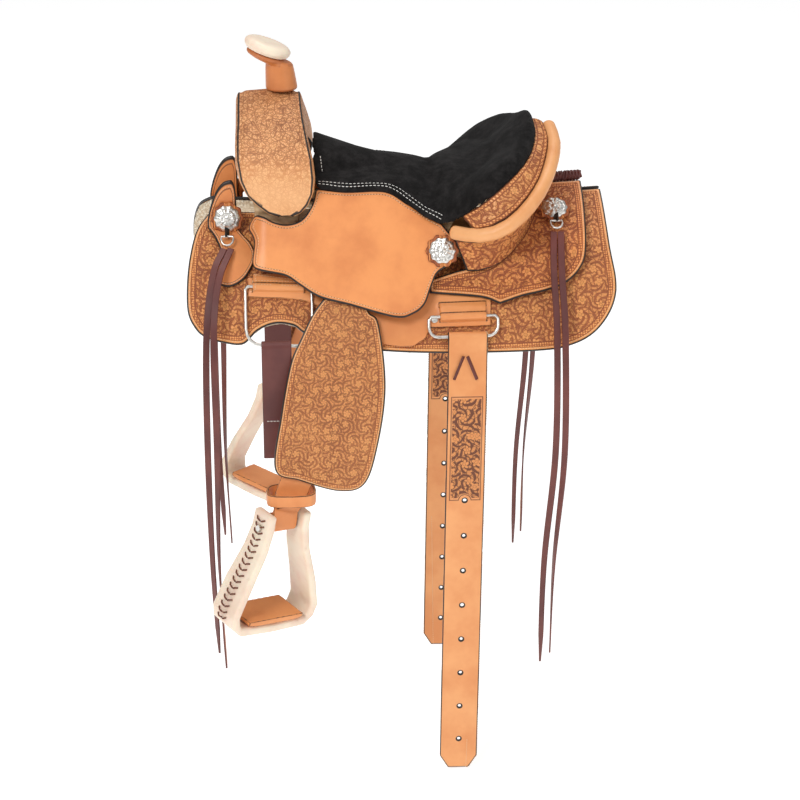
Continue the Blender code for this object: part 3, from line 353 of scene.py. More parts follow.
TAN = smooth_leather("tan_leather", tint(0.80, 0.300, 0.092), tint(0.64, 0.205, 0.056), stitch=0.0042)
TAN_PLAIN = smooth_leather("plain_tan_leather", tint(0.78, 0.31, 0.105), tint(0.66, 0.225, 0.066),
                           edge_width=0.0005)
ROLL_TAN = smooth_leather("roll_leather", tint(0.80, 0.40, 0.165), tint(0.70, 0.29, 0.10),
                          edge=tint(0.60, 0.24, 0.08))
HORN_TAN = smooth_leather("horn_leather", tint(0.66, 0.235, 0.070), tint(0.52, 0.160, 0.043),
                          edge=tint(0.48, 0.15, 0.045))
BURGUNDY = smooth_leather("burgundy_latigo", tint(0.150, 0.036, 0.028), tint(0.095, 0.021, 0.018),
                          edge=tint(0.045, 0.012, 0.012), rough=0.42, edge_width=0.0004)


def stamped_leather():
    """Small seeder and leaf stamps, dense near the top and sparser towards the points."""
    f = Finish("stamped_swell_leather")
    flat, place = f.flat(), f.place()
    rim = f.split(flat)[2]
    height_up = f.split(place)[2]
    warp = f.scaled(f.noise(place, 60.0, 2.0, 0.5, "Color"), 0.006)
    moved = f.node("ShaderNodeVectorMath", {0: place, 1: warp}, operation="ADD").outputs[0]
    seeds = f.step(f.cells(moved, 560.0, "F1", False, 0.9)["Distance"], 0.30, 0.62)
    leaves = f.step(f.cells(moved, 120.0, "DISTANCE_TO_EDGE", False, 1.0)["Distance"], 0.11, 0.02)
    strokes = f.step(f.sum("ABSOLUTE", f.sum("SUBTRACT", f.noise(moved, 150.0, 2.0, 0.4), 0.5)), 0.045, 0.010)
    dense = f.sum("MULTIPLY_ADD", f.step(height_up, 0.035, 0.120), 0.60, 0.26)
    marks = f.sum("MAXIMUM", f.sum("MULTIPLY", seeds, 0.75), f.sum("MAXIMUM", leaves, strokes))
    pit = f.sum("MULTIPLY", marks, dense)
    patches = f.noise(place, 26.0, 4.0, 0.6)
    shade = f.sum("MULTIPLY_ADD", f.sum("SUBTRACT", patches, 0.5), 0.6,
                  f.sum("SUBTRACT", 1.0, f.sum("MULTIPLY", pit, 0.95)))
    ramp = f.node("ShaderNodeValToRGB", {0: shade})
    stops = ramp.color_ramp.elements
    stops[0].position, stops[0].color = 0.05, tint(0.20, 0.065, 0.024)
    stops[1].position, stops[1].color = 0.98, tint(0.84, 0.46, 0.21)
    stops.new(0.50).color = tint(0.62, 0.26, 0.095)
    colour = f.mix(f.step(rim, 0.0022, 0.0012), ramp.outputs[0], EDGE_BLACK)
    normal = f.bump(shade, 0.7, 0.0007)
    return f.finish(colour, f.sum("MULTIPLY_ADD", pit, 0.25, 0.40), normal)


STAMPED = stamped_leather()


# %% Suede, wool, rawhide, silver and the rest
def suede():
    f = Finish("black_suede")
    place = f.place()
    nap = f.noise(place, 55.0, 6.0, 0.7)
    fibre = f.noise(place, 1400.0, 3.0, 0.7)
    # Random lighter patches in the black: the nap's own tone, and painted sheen that stands in for the
    # suede's greyish highlights.
    nap_and_sheen_patches = f.step(nap, 0.38, 0.72)
    colour = f.mix(nap_and_sheen_patches, tint(0.0050, 0.0046, 0.0046), tint(0.021, 0.019, 0.019))
    colour = f.mix(f.sum("MULTIPLY", f.step(fibre, 0.35, 0.75), 0.30), colour, tint(0.040, 0.037, 0.036))
    f.shader.inputs["Sheen Weight"].default_value = 0.04
    f.shader.inputs["Sheen Roughness"].default_value = 0.5
    f.shader.inputs["Specular IOR Level"].default_value = 0.06
    return f.finish(colour, 1.0, f.bump(fibre, 0.5, 0.0005))


def wool():
    f = Finish("wool_fleece")
    place = f.place()
    curl = f.cells(f.scaled(place, 1.0), 210.0, "F1", False)["Distance"]
    tuft = f.noise(place, 90.0, 5.0, 0.7)
    # The tan between the cream curls is painted shade, darkest in the hollows that the bump sinks.
    colour = f.mix(f.step(curl, 0.1, 0.7), tint(0.86, 0.78, 0.63), tint(0.60, 0.47, 0.32))
    return f.finish(colour, 0.96, f.bump(f.sum("SUBTRACT", tuft, curl), 1.0, 0.003))


def rawhide():
    f = Finish("rawhide_cream")
    place = f.place()
    blotch = f.noise(place, 22.0, 4.0, 0.55)
    vein = f.noise(place, 95.0, 5.0, 0.65)
    colour = f.mix(f.step(blotch, 0.35, 0.7), tint(0.86, 0.74, 0.58), tint(0.80, 0.60, 0.47))
    colour = f.mix(f.sum("MULTIPLY", f.step(vein, 0.58, 0.75), 0.35), colour, tint(0.55, 0.36, 0.22))
    f.shader.inputs["Subsurface Weight"].default_value = 0.06
    f.shader.inputs["Coat Weight"].default_value = 0.12
    return f.finish(colour, f.sum("MULTIPLY_ADD", vein, 0.2, 0.34), f.bump(vein, 0.35, 0.0006))


def silver():
    f = Finish("worn_silver")
    place = f.place()
    tarnish = f.noise(place, 120.0, 4.0, 0.6)
    colour = f.mix(f.step(tarnish, 0.48, 0.8), tint(0.72, 0.70, 0.66), tint(0.40, 0.37, 0.33))
    f.shader.inputs["Metallic"].default_value = 1.0
    scratch = f.noise(place, 700.0, 3.0, 0.6)
    return f.finish(colour, f.sum("MULTIPLY_ADD", tarnish, 0.20, 0.24), f.bump(scratch, 0.05, 0.0001))


def thread(name, colour, shade):
    f = Finish(name)
    place = f.place()
    twist = f.noise(place, 900.0, 2.0, 0.5)
    return f.finish(f.mix(twist, colour, shade), 0.75, f.bump(twist, 0.5, 0.0003))


def tree_wood():
    f = Finish("rawhide_covered_tree")
    place = f.place()
    grain = f.node("ShaderNodeTexWave", {"Vector": place, "Scale": 28.0, "Distortion": 6.0, "Detail": 3.0},
                   bands_direction="Z").outputs["Fac"]
    return f.finish(f.mix(grain, tint(0.60, 0.42, 0.24), tint(0.42, 0.26, 0.13)), 0.55,
                    f.bump(grain, 0.25, 0.0006))


def billet_leather():
    """Plain tan strap with one carved panel, framed by a line, below the dee."""
    f = Finish("billet_leather")
    flat, place = f.flat(), f.place()
    across, down, rim = f.split(flat)
    inside = f.sum("MULTIPLY", f.between(down, -0.3440, -0.2060, 0.0006), f.step(rim, 0.0066, 0.0074))
    frame_line = f.sum("MULTIPLY", f.between(down, -0.3475, -0.2025, 0.0005), f.step(rim, 0.0046, 0.0052))
    frame_line = f.sum("SUBTRACT", frame_line, f.sum(
        "MULTIPLY", f.between(down, -0.3462, -0.2038, 0.0005), f.step(rim, 0.0058, 0.0064)))
    carve = carving(f, flat, 0.022)
    mottle = f.noise(place, 16.0, 4.0, 0.6)
    tan = f.mix(f.step(mottle, 0.3, 0.7), tint(0.80, 0.355, 0.135), tint(0.70, 0.265, 0.088))
    ramp = f.node("ShaderNodeValToRGB", {0: carve})
    stops = ramp.color_ramp.elements
    stops[0].position, stops[0].color = 0.03, tint(0.14, 0.038, 0.012)
    stops[1].position, stops[1].color = 0.8, tint(0.74, 0.29, 0.088)
    colour = f.mix(inside, tan, ramp.outputs[0])
    colour = f.mix(f.sum("MULTIPLY", frame_line, 0.8), colour, tint(0.10, 0.03, 0.012))
    colour = f.mix(f.step(rim, 0.0020, 0.0012), colour, EDGE_BLACK)
    grain = f.noise(place, 420.0, 4.0, 0.6)
    height = f.sum("MULTIPLY_ADD", grain, 0.12, f.sum("MULTIPLY", carve, inside))
    height = f.sum("SUBTRACT", height, frame_line)
    return f.finish(colour, f.sum("MULTIPLY_ADD", mottle, 0.2, 0.36), f.bump(height, 0.7, 0.0007))


SUEDE, WOOL, RAWHIDE, SILVER, WOOD = suede(), wool(), rawhide(), silver(), tree_wood()
BILLET = billet_leather()
WHITE_THREAD = thread("white_thread", tint(0.86, 0.84, 0.80), tint(0.60, 0.58, 0.54))
TAN_THREAD = thread("tan_thread", tint(0.90, 0.66, 0.42), tint(0.70, 0.42, 0.22))
BROWN_LACE = thread("brown_lace", tint(0.20, 0.060, 0.028), tint(0.11, 0.030, 0.016))

# %% [markdown]
# ## Working a panel
# The frame's panels are made of flat strips. A voxel remesh gives an even skin that a few
# smoothing passes turn into a bend, and rounds the cut edges as an edge slicker does.
# The old sharp edges are kept as a cloud of points: the distance to them is the third
# number of the sheet attribute, which the finishes read.


# %% Panel helpers
def alone(thing):
    for other in list(bpy.context.selected_objects):
        other.select_set(False)
    thing.select_set(True)
    bpy.context.view_layer.objects.active = thing


def new_piece(name, mesh):
    made = bpy.data.objects.new(name, mesh)
    bpy.context.scene.collection.objects.link(made)
    return made


def apply_modifiers(thing):
    alone(thing)
    for modifier in list(thing.modifiers):
        bpy.ops.object.modifier_apply(modifier=modifier.name)


def sharp_points(mesh, angle, spacing=0.0012):
    """Points along the edges where the faces turn by more than this angle."""
    bm = bmesh.new()
    bm.from_mesh(mesh)
    points = []
    for edge in bm.edges:
        if len(edge.link_faces) == 2 and edge.calc_face_angle(0.0) > angle:
            a, b = edge.verts[0].co, edge.verts[1].co
            count = max(1, math.ceil((b - a).length / spacing))
            points += [a.lerp(b, k / count) for k in range(count + 1)]
    bm.free()
    return points


def down_flank(co):
    """Across and down, on a panel that lies on the flank."""
    y = np.abs(co[:, 1]) + ARC_RADIUS * math.sin(RIDGE_SLOPE)
    z = co[:, 2] - ROCKER * co[:, 0] ** 2 + ARC_RADIUS * math.cos(RIDGE_SLOPE)
    return co[:, 0], (np.arctan2(y, z) - RIDGE_SLOPE) * ARC_RADIUS


def down_straight(co):
    return co[:, 0], co[:, 2]


def round_cantle(co):
    turn = np.arctan2(co[:, 1], co[:, 0] - 0.03)
    return turn * 0.15, co[:, 2] * 1.0


def round_swell(co):
    turn = np.arctan2(co[:, 2] - 0.05, np.abs(co[:, 1]))
    return co[:, 0], turn * 0.09


def worked(node, finish, voxel=0.0020, smooth=6, unroll=down_straight, angle=50, name=None, grow=0.0):
    """Smoothing draws a panel's edges in; grow swells it back so that it meets its neighbours."""
    source = frame["nodes"][node]
    piece = new_piece(name or node + "_skin", source.data.copy())
    piece.data.materials.clear()
    alone(piece)
    bpy.ops.object.mode_set(mode="EDIT")
    bpy.ops.mesh.select_all(action="SELECT")
    bpy.ops.mesh.remove_doubles(threshold=0.00001)
    bpy.ops.object.mode_set(mode="OBJECT")
    rim = sharp_points(piece.data, math.radians(angle))
    piece.data.remesh_voxel_size = voxel
    bpy.ops.object.voxel_remesh()
    if smooth:
        modifier = piece.modifiers.new("slicked", "SMOOTH")
        modifier.factor, modifier.iterations = 0.5, smooth
        if grow:
            swell = piece.modifiers.new("full", "DISPLACE")
            swell.strength, swell.mid_level = grow, 0.0
        apply_modifiers(piece)
    alone(piece)
    bpy.ops.object.shade_smooth()
    write_sheet(piece, rim, unroll)
    piece.data.materials.append(finish)
    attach(piece, BODY_OF[node])
    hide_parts(node)
    return piece


def write_sheet(piece, rim, unroll):
    count = len(piece.data.vertices)
    co = np.empty(count * 3)
    piece.data.vertices.foreach_get("co", co)
    co = co.reshape(-1, 3)
    distance = np.full(count, 0.02)
    if rim:
        tree = kdtree.KDTree(len(rim))
        for i, point in enumerate(rim):
            tree.insert(point, i)
        tree.balance()
        distance = np.array([tree.find(Vector(c))[2] for c in co])
    across, down = unroll(co)
    data = np.stack([across, down, distance], axis=1).astype(np.float32)
    sheet = piece.data.attributes.new("sheet", "FLOAT_VECTOR", "POINT")
    sheet.data.foreach_set("vector", data.ravel())


# %% [markdown]
# ## Panels cut from their patterns
# The big flank panels are cut like leather: a pattern in the flat, filled with an even net of
# triangles, laid on the back and given a rounded, burnished edge.

# %% Patterns, as (x, distance down the flank); a third value of 0 marks a corner
SKIRT_EDGE = [(-0.247, 0.030, 0), (-0.264, 0.061), (-0.273, 0.100), (-0.277, 0.140), (-0.276, 0.174),
              (-0.267, 0.193), (-0.255, 0.203), (-0.233, 0.209), (-0.207, 0.210), (-0.188, 0.193),
              (-0.166, 0.184), (-0.143, 0.186), (-0.127, 0.196), (-0.083, 0.209), (-0.028, 0.217),
              (0.051, 0.221), (0.170, 0.223), (0.208, 0.219), (0.236, 0.208), (0.256, 0.189),
              (0.268, 0.166), (0.271, 0.140), (0.266, 0.090), (0.263, 0.0008, 0), (0.176, 0.0008, 0),
              (0.144, 0.030), (-0.176, 0.030)]
REAR_JOCKEY_EDGE = [(0.031, 0.149, 0), (0.095, 0.156), (0.120, 0.165, 0), (0.149, 0.157), (0.178, 0.152),
                    (0.204, 0.144), (0.224, 0.127), (0.233, 0.104), (0.236, 0.046), (0.236, 0.0008, 0),
                    (0.168, 0.0008, 0), (0.164, 0.040), (0.142, 0.084), (0.106, 0.112), (0.060, 0.124),
                    (0.031, 0.132, 0)]
FRONT_JOCKEY_EDGE = [(-0.214, 0.031), (-0.2245, 0.0275), (-0.238, 0.033), (-0.248, 0.046), (-0.250, 0.060),
                     (-0.240, 0.078),
                     (-0.234, 0.100), (-0.242, 0.131), (-0.225, 0.141), (-0.204, 0.130), (-0.190, 0.104),
                     (-0.194, 0.084), (-0.211, 0.060)]
SEAT_JOCKEY_EDGE = [(0.048, 0.0785, 0), (0.062, 0.094), (0.067, 0.107), (0.059, 0.120), (0.041, 0.130),
                    (0.033, 0.144), (0.023, 0.166), (0.007, 0.177), (-0.015, 0.180), (-0.071, 0.166),
                    (-0.109, 0.157), (-0.134, 0.143), (-0.152, 0.133), (-0.181, 0.128), (-0.192, 0.120),
                    (-0.189, 0.095), (-0.195, 0.078), (-0.187, 0.068), (-0.177, 0.072), (-0.165, 0.077),
                    (-0.148, 0.079), (-0.130, 0.074), (-0.117, 0.060), (-0.111, 0.043, 0),
                    (-0.074, 0.046), (-0.023, 0.046), (0.008, 0.060)]
FENDER_EDGE = [(-0.103, 0.004, 0), (-0.119, 0.026), (-0.134, 0.056), (-0.148, 0.088), (-0.161, 0.150),
               (-0.170, 0.222), (-0.138, 0.238), (-0.088, 0.253), (-0.056, 0.244), (-0.039, 0.195),
               (-0.028, 0.118), (-0.035, 0.040), (-0.047, 0.024), (-0.053, 0.004, 0)]
FLEECE, SKIRT_LIFT, SKIRT = 0.009, 0.0093, 0.004
FENDER_LIFT = LEATHER + 0.0006
EDGE_ROUND = 0.0016
HINGE_X, HINGE_S, HINGE_GAP = -0.075, 0.150, 0.0072
UPPER_SLOPE, LOWER_SLOPE = math.radians(65.5), math.radians(84)
BEND_START, BEND_LENGTH = 0.080, 0.080
HANG_STEPS = 24


def hang(x, t):
    """A point on the inner face of the hanging fender, t below its hinge."""
    start = on_back(HINGE_X, HINGE_S, PLATE_TOP + HINGE_GAP)
    y, z = start.y, start.z
    angle = UPPER_SLOPE
    for k in range(HANG_STEPS):
        bend = min(max((t * (k + 0.5) / HANG_STEPS - BEND_START) / BEND_LENGTH, 0), 1)
        angle = UPPER_SLOPE + (LOWER_SLOPE - UPPER_SLOPE) * bend
        y -= math.cos(angle) * t / HANG_STEPS
        z -= math.sin(angle) * t / HANG_STEPS
    return Vector((x, y - math.sin(angle) * FENDER_LIFT, z + math.cos(angle) * FENDER_LIFT))


def closed_curve(outline, spacing):
    count = len(outline)
    nodes = [Vector(p[:2]) for p in outline]
    corner = [len(p) == 3 for p in outline]
    path = []
    for i in range(count):
        a, b = nodes[i], nodes[(i + 1) % count]
        tangent_a = (b - a) if corner[i] else (b - nodes[i - 1]) * 0.5
        tangent_b = (b - a) if corner[(i + 1) % count] else (nodes[(i + 2) % count] - a) * 0.5
        pieces = max(1, round((b - a).length / spacing))
        for k in range(pieces):
            t = k / pieces
            path.append(a * (2 * t**3 - 3 * t**2 + 1) + tangent_a * (t**3 - 2 * t**2 + t)
                        + b * (3 * t**2 - 2 * t**3) + tangent_b * (t**3 - t**2))
    return np.array([tuple(p) for p in path])


def rim_distance(points, ring):
    run = np.roll(ring, -1, axis=0) - ring
    square = np.maximum((run ** 2).sum(axis=1), 1e-12)
    nearest = []
    for part in np.array_split(points, max(1, len(points) // 1500)):
        away = part[:, None, :] - ring[None]
        share = np.clip((away * run).sum(axis=2) / square, 0.0, 1.0)
        gap = away - share[..., None] * run
        nearest.append(np.sqrt((gap ** 2).sum(axis=2).min(axis=1)))
    return np.concatenate(nearest)


def within(points, ring):
    found = np.zeros(len(points), bool)
    for a, b in zip(ring, np.roll(ring, -1, axis=0)):
        spans = (a[1] > points[:, 1]) != (b[1] > points[:, 1])
        reach = a[0] + (b[0] - a[0]) * (points[:, 1] - a[1]) / (b[1] - a[1] + 1e-15)
        found ^= spans & (points[:, 0] < reach)
    return found


def inset_ring(ring, step):
    along = np.roll(ring, -1, axis=0) - np.roll(ring, 1, axis=0)
    along /= np.linalg.norm(along, axis=1, keepdims=True)
    ahead = np.roll(ring, -1, axis=0)
    turn = 1.0 if (ring[:, 0] * ahead[:, 1] - ahead[:, 0] * ring[:, 1]).sum() > 0 else -1.0
    moved = ring + np.stack([-along[:, 1], along[:, 0]], axis=1) * step * turn
    return moved[rim_distance(moved, ring) > step * 0.93]


def cut_panel(node, finish, outline, place, thick=LEATHER, spacing=0.003):
    ring = closed_curve(outline, spacing)
    low, high = ring.min(axis=0), ring.max(axis=0)
    rows = np.arange(low[1], high[1], spacing * 0.87)
    net = np.array([(x + spacing * 0.5 * (k % 2), s) for k, s in enumerate(rows)
                    for x in np.arange(low[0], high[0], spacing)])
    net = net[within(net, ring)]
    net = net[rim_distance(net, ring) > 0.0040]
    points = np.concatenate([ring] + [inset_ring(ring, step) for step in (0.0005, 0.0012, 0.0024)] + [net])
    found = delaunay_2d_cdt([Vector(p) for p in points], [], [list(range(len(ring)))], 1, 1e-7)
    flat = np.array([tuple(v) for v in found[0]])
    triangles = np.array(found[2])
    rim = rim_distance(flat, ring)
    base = np.array([tuple(place(x, s)) for x, s in flat])
    a, b, c = (base[triangles[:, k]] for k in range(3))
    normal = np.zeros_like(base)
    for k in range(3):
        np.add.at(normal, triangles[:, k], np.cross(b - a, c - a))
    normal /= np.maximum(np.linalg.norm(normal, axis=1, keepdims=True), 1e-12)
    if (normal[:, 2] - normal[:, 1]).sum() < 0:
        normal, triangles = -normal, triangles[:, ::-1]
    bulge = np.sqrt(1.0 - (1.0 - np.minimum(rim / EDGE_ROUND, 1.0)) ** 2)[:, None] * 0.5
    top, bottom = base + normal * thick * (0.5 + bulge), base + normal * thick * (0.5 - bulge)
    inner = np.flatnonzero(rim > 1e-5)
    under = np.arange(len(flat))
    under[inner] = len(flat) + np.arange(len(inner))
    points = np.concatenate([top, bottom[inner]])
    faces = np.concatenate([triangles, under[triangles][:, ::-1]])
    sheet = np.concatenate([np.column_stack([flat, rim]), np.column_stack([flat, rim])[inner]])
    if node.endswith("right"):
        points[:, 1] *= -1
        faces = faces[:, ::-1]
    mesh = bpy.data.meshes.new(node + "_skin")
    mesh.from_pydata(points.tolist(), [], faces.tolist())
    mesh.shade_smooth()
    mesh.attributes.new("sheet", "FLOAT_VECTOR", "POINT").data.foreach_set(
        "vector", sheet.astype(np.float32).ravel())
    mesh.materials.append(finish)
    piece = new_piece(node + "_skin", mesh)
    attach(piece, BODY_OF[node])
    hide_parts(node)
    return piece


PATTERNS = {"skirt": (CARVED, SKIRT_EDGE, lambda x, s: on_back(x, s, SKIRT_LIFT), SKIRT),
            "rear_jockey": (CARVED_DEEP, REAR_JOCKEY_EDGE, lambda x, s: on_back(x, s, over_tree(x, s)),
                            LEATHER),
            "front_jockey": (TAN, FRONT_JOCKEY_EDGE, lambda x, s: on_back(x, s, front_lift(x, s)),
                             LEATHER),
            "seat_jockey": (TAN, SEAT_JOCKEY_EDGE, lambda x, s: on_back(x, s, seat_lift(x, s)), LEATHER),
            "fender": (CARVED_FINE, FENDER_EDGE, hang, LEATHER)}

# %% [markdown]
# ## The leather, one panel at a time

# %% Leather panels
SIDES = ("left", "right")
skins = {}
for side in SIDES:
    for node, (finish, outline, place, thick) in PATTERNS.items():
        skins[f"{node}_{side}"] = cut_panel(f"{node}_{side}", finish, outline, place, thick)
    for node, finish, voxel, unroll in (
            ("rigging_plate", TAN_PLAIN, 0.0016, down_flank),
            ("stirrup_leather", TAN_PLAIN, 0.0018, down_straight),
            ("hobble_strap", TAN_PLAIN, 0.0012, down_straight),
            ("stirrup", RAWHIDE, 0.0019, down_straight), ("stirrup_tread", TAN_PLAIN, 0.0016, down_straight),
            ("rear_billet", BILLET, 0.0017, down_straight)):
        name = f"{node}_{side}"
        skins[name] = worked(name, finish, voxel, 14 if node == "rigging_plate" else 6, unroll)
skins["latigo_left"] = worked("latigo_left", BURGUNDY, 0.0016)
skins["off_billet_right"] = worked("off_billet_right", BURGUNDY, 0.0016)
skins["swell_cover"] = worked("swell_cover", STAMPED, 0.0016, 26, round_swell, angle=60, grow=0.0008)
skins["cantle_band"] = worked("cantle_band", CARVED_CANTLE, 0.0014, 5, round_cantle, grow=0.0024)
skins["cantle_roll"] = worked("cantle_roll", ROLL_TAN, 0.0016, 24, round_cantle, angle=80, grow=0.0012)
skins["cantle_back"] = worked("cantle_back", CARVED_BACK, 0.0014, 6, round_cantle, grow=0.0016)
skins["horn_wrap"] = worked("horn_wrap", HORN_TAN, 0.0012, 20, grow=0.0016)
skins["horn_cap"] = worked("horn_cap", RAWHIDE, 0.0012, 16)
for name in ("front_dee", "rear_dee"):
    for side in SIDES:
        skins[f"{name}_{side}"] = worked(f"{name}_{side}", SILVER, 0.0008, 6)
for node in ("fork", "horn_core", "ground_seat", "cantle_board", "tree_bar_left", "tree_bar_right",
             "stirrup_bolt_left", "stirrup_bolt_right"):
    mesh_node = frame["nodes"][node]
    for slot_place in mesh_node.material_slots:
        slot_place.material = SILVER if "bolt" in node else WOOD
print("panels", len(skins), "faces", sum(len(p.data.polygons) for p in skins.values()))

# %% [markdown]
# ## The seat
# The pad is a thin cushion of suede over foam. It is blown up a little so that it crowns
# between its seams, and the amount is capped so that it stays clear of the jockeys.

# %% Padded seat
SWELL_CAP = 0.0030


def padded_seat():
    pad = worked("seat_pad", SUEDE, 0.0024, 14, round_cantle, name="seat_cushion", grow=0.0022)
    rest = np.empty(len(pad.data.vertices) * 3)
    pad.data.vertices.foreach_get("co", rest)
    rest = rest.reshape(-1, 3)
    cloth = pad.modifiers.new("blown_up", "CLOTH")
    cloth.settings.use_pressure = True
    cloth.settings.uniform_pressure_force = 3.0
    cloth.settings.effector_weights.gravity = 0.0
    for number in range(1, 13):
        bpy.context.scene.frame_set(number)
    shaped = pad.evaluated_get(bpy.context.evaluated_depsgraph_get())
    moved = np.empty(len(rest) * 3)
    shaped.data.vertices.foreach_get("co", moved)
    moved = moved.reshape(-1, 3)
    pad.modifiers.remove(cloth)
    bpy.context.scene.frame_set(1)
    step = moved - rest
    length = np.linalg.norm(step, axis=1, keepdims=True)
    step *= np.minimum(1.0, SWELL_CAP / np.maximum(length, 1e-9))
    pad.data.vertices.foreach_set("co", (rest + step).ravel())
    finer = pad.modifiers.new("finer", "SUBSURF")
    finer.levels = finer.render_levels = 1
    apply_modifiers(pad)
    return pad


seat_cushion = padded_seat()
skins["seat_pad"] = seat_cushion

# %% [markdown]
# ## Fleece under the skirts

# %% Fleece
for side in SIDES:
    fleece = cut_panel(f"fleece_{side}", WOOL, SKIRT_EDGE, lambda x, s: on_back(x, s, 0.0), FLEECE)
    tufts = bpy.data.textures.new("tufts_" + side, "CLOUDS")
    tufts.noise_scale = 0.006
    raised = fleece.modifiers.new("tufts", "DISPLACE")
    raised.texture, raised.strength, raised.mid_level = tufts, 0.0030, 0.62
    apply_modifiers(fleece)
    skins[f"fleece_{side}"] = fleece

# %% [markdown]
# ## Conchos
# A concho is a stamped silver disc with a scalloped rim, set on a leather rosette. One disc is
# drawn out ring by ring from a circle, then its rim is scalloped and its face fluted.

# %% Concho
CONCHO_RADIUS = 0.0165
PETALS = 10
DISC = ((0.0035, 0.0042), (0.0042, 0.0034), (0.0058, 0.0042), (0.0082, 0.0040), (0.0108, 0.0033),
        (0.0118, 0.0021), (0.0128, 0.0027), (0.0138, 0.0020), (0.0158, 0.0013), (0.0165, 0.0006),
        (0.0160, 0.0))


def ringed_disc(name, rings, finish, scallop, flute):
    """A lathe form drawn out from a small circle; scallop waves its rim and flute its face."""
    for other in list(bpy.context.selected_objects):
        other.select_set(False)
    bpy.ops.mesh.primitive_circle_add(vertices=PETALS * 8, radius=rings[0][0], fill_type="NGON",
                                      location=(0, 0, rings[0][1]))
    disc = bpy.context.object
    disc.name = name
    bpy.ops.object.transform_apply(location=True)
    bpy.ops.object.mode_set(mode="EDIT")
    bpy.ops.mesh.select_all(action="SELECT")
    for (before, low), (radius, high) in zip(rings, rings[1:]):
        bpy.ops.mesh.extrude_region_move(TRANSFORM_OT_translate={"value": (0, 0, high - low)})
        share = radius / before
        bpy.ops.transform.resize(value=(share, share, 1.0))
    bpy.ops.object.mode_set(mode="OBJECT")
    rim = rings[-2][0]
    for vertex in disc.data.vertices:
        co = vertex.co
        out = math.hypot(co.x, co.y)
        turn = math.cos(PETALS * math.atan2(co.y, co.x))
        share = 1.0 + scallop * turn * ease((out / rim - 0.6) / 0.4)
        co.x, co.y = co.x * share, co.y * share
        if co.z > 0.0004:
            co.z += flute * turn * ease(out / rim / 0.5) * (1.0 - ease((out / rim - 0.75) / 0.2))
    bm = bmesh.new()
    bm.from_mesh(disc.data)
    bmesh.ops.remove_doubles(bm, verts=bm.verts[:], dist=0.00001)
    holes = [edge for edge in bm.edges if len(edge.link_faces) == 1]
    if holes:
        bmesh.ops.contextual_create(bm, geom=holes)
    bmesh.ops.recalc_face_normals(bm, faces=bm.faces[:])
    if bm.calc_volume(signed=True) < 0:
        bmesh.ops.reverse_faces(bm, faces=bm.faces[:])
    bm.to_mesh(disc.data)
    bm.free()
    disc.data.shade_smooth()
    disc.data.materials.append(finish)
    return disc


CONCHO = ringed_disc("concho_master", DISC, SILVER, 0.045, 0.00035)
ROSETTE_RINGS = ((0.004, 0.0016), (0.012, 0.0016), (0.0185, 0.0016), (0.0205, 0.0010), (0.0203, 0.0))
ROSETTE = ringed_disc("rosette_master", ROSETTE_RINGS, CARVED_DEEP, 0.06, 0.0)
write_sheet(ROSETTE, [], down_straight)


def laid(master, name, matrix, body, slot, *stands_for):
    piece = new_piece(name, master.data.copy())
    piece.data.transform(matrix)
    if matrix.determinant() < 0:
        piece.data.flip_normals()
    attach(piece, body)
    if stands_for:
        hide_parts(*stands_for)
    return piece


def concho_place(x, s, lift, with_ring):
    step = 0.010
    along = on_back(x, s + step, lift(x, s + step)) - on_back(x, s - step, lift(x, s - step))
    normal = Vector((1, 0, 0)).cross(along).normalized()
    normal = normal if normal.z > 0 else -normal
    place = on_back(x, s, lift(x, s)) + normal * (LEATHER + (0.0052 if with_ring else 0.0018))
    along = Vector((0, -normal.z, normal.y))
    down = (along.normalized() + back_down(0.030) * 1.6).normalized()
    return place, normal, down


CONCHO_PLACES = {"front_concho": (-0.2250, 0.050, front_lift, True),
                 "rear_concho": (0.196, 0.049, over_tree, True),
                 "seat_concho": (0.047, 0.107, seat_lift, False)}
MIRROR = Matrix.Scale(-1, 4, Vector((0, 1, 0)))
string_tops = {}


def tube(name, path, radius, finish, cyclic=False, sides=10):
    """A round bar or lace along a path, closed at its ends."""
    bm = bmesh.new()
    count = len(path)
    rings = []
    before = None
    for i, point in enumerate(path):
        ahead = path[(i + 1) % count] if cyclic or i + 1 < count else path[i]
        behind = path[i - 1] if cyclic or i else path[i]
        along = (ahead - behind).normalized()
        if before is None:
            before = along.orthogonal().normalized()
        before = (before - along * before.dot(along)).normalized()
        other = along.cross(before)
        wide = radius(i / max(1, count - 1)) if callable(radius) else (radius, radius)
        rings.append([bm.verts.new(point + before * wide[0] * math.cos(6.2832 * k / sides)
                                   + other * wide[1] * math.sin(6.2832 * k / sides)) for k in range(sides)])
    pairs = list(zip(rings, rings[1:])) + ([(rings[-1], rings[0])] if cyclic else [])
    for a, b in pairs:
        for k in range(sides):
            bm.faces.new((a[k], a[(k + 1) % sides], b[(k + 1) % sides], b[k]))
    if not cyclic:
        bm.faces.new(rings[0])
        bm.faces.new(list(reversed(rings[-1])))
    bmesh.ops.recalc_face_normals(bm, faces=bm.faces[:])
    mesh = bpy.data.meshes.new(name)
    bm.to_mesh(mesh)
    bm.free()
    mesh.shade_smooth()
    made = new_piece(name, mesh)
    mesh.materials.append(finish)
    return made


def joined(name, things):
    for other in list(bpy.context.selected_objects):
        other.select_set(False)
    for thing in things:
        thing.select_set(True)
    bpy.context.view_layer.objects.active = things[0]
    bpy.ops.object.join()
    things[0].name = name
    return things[0]


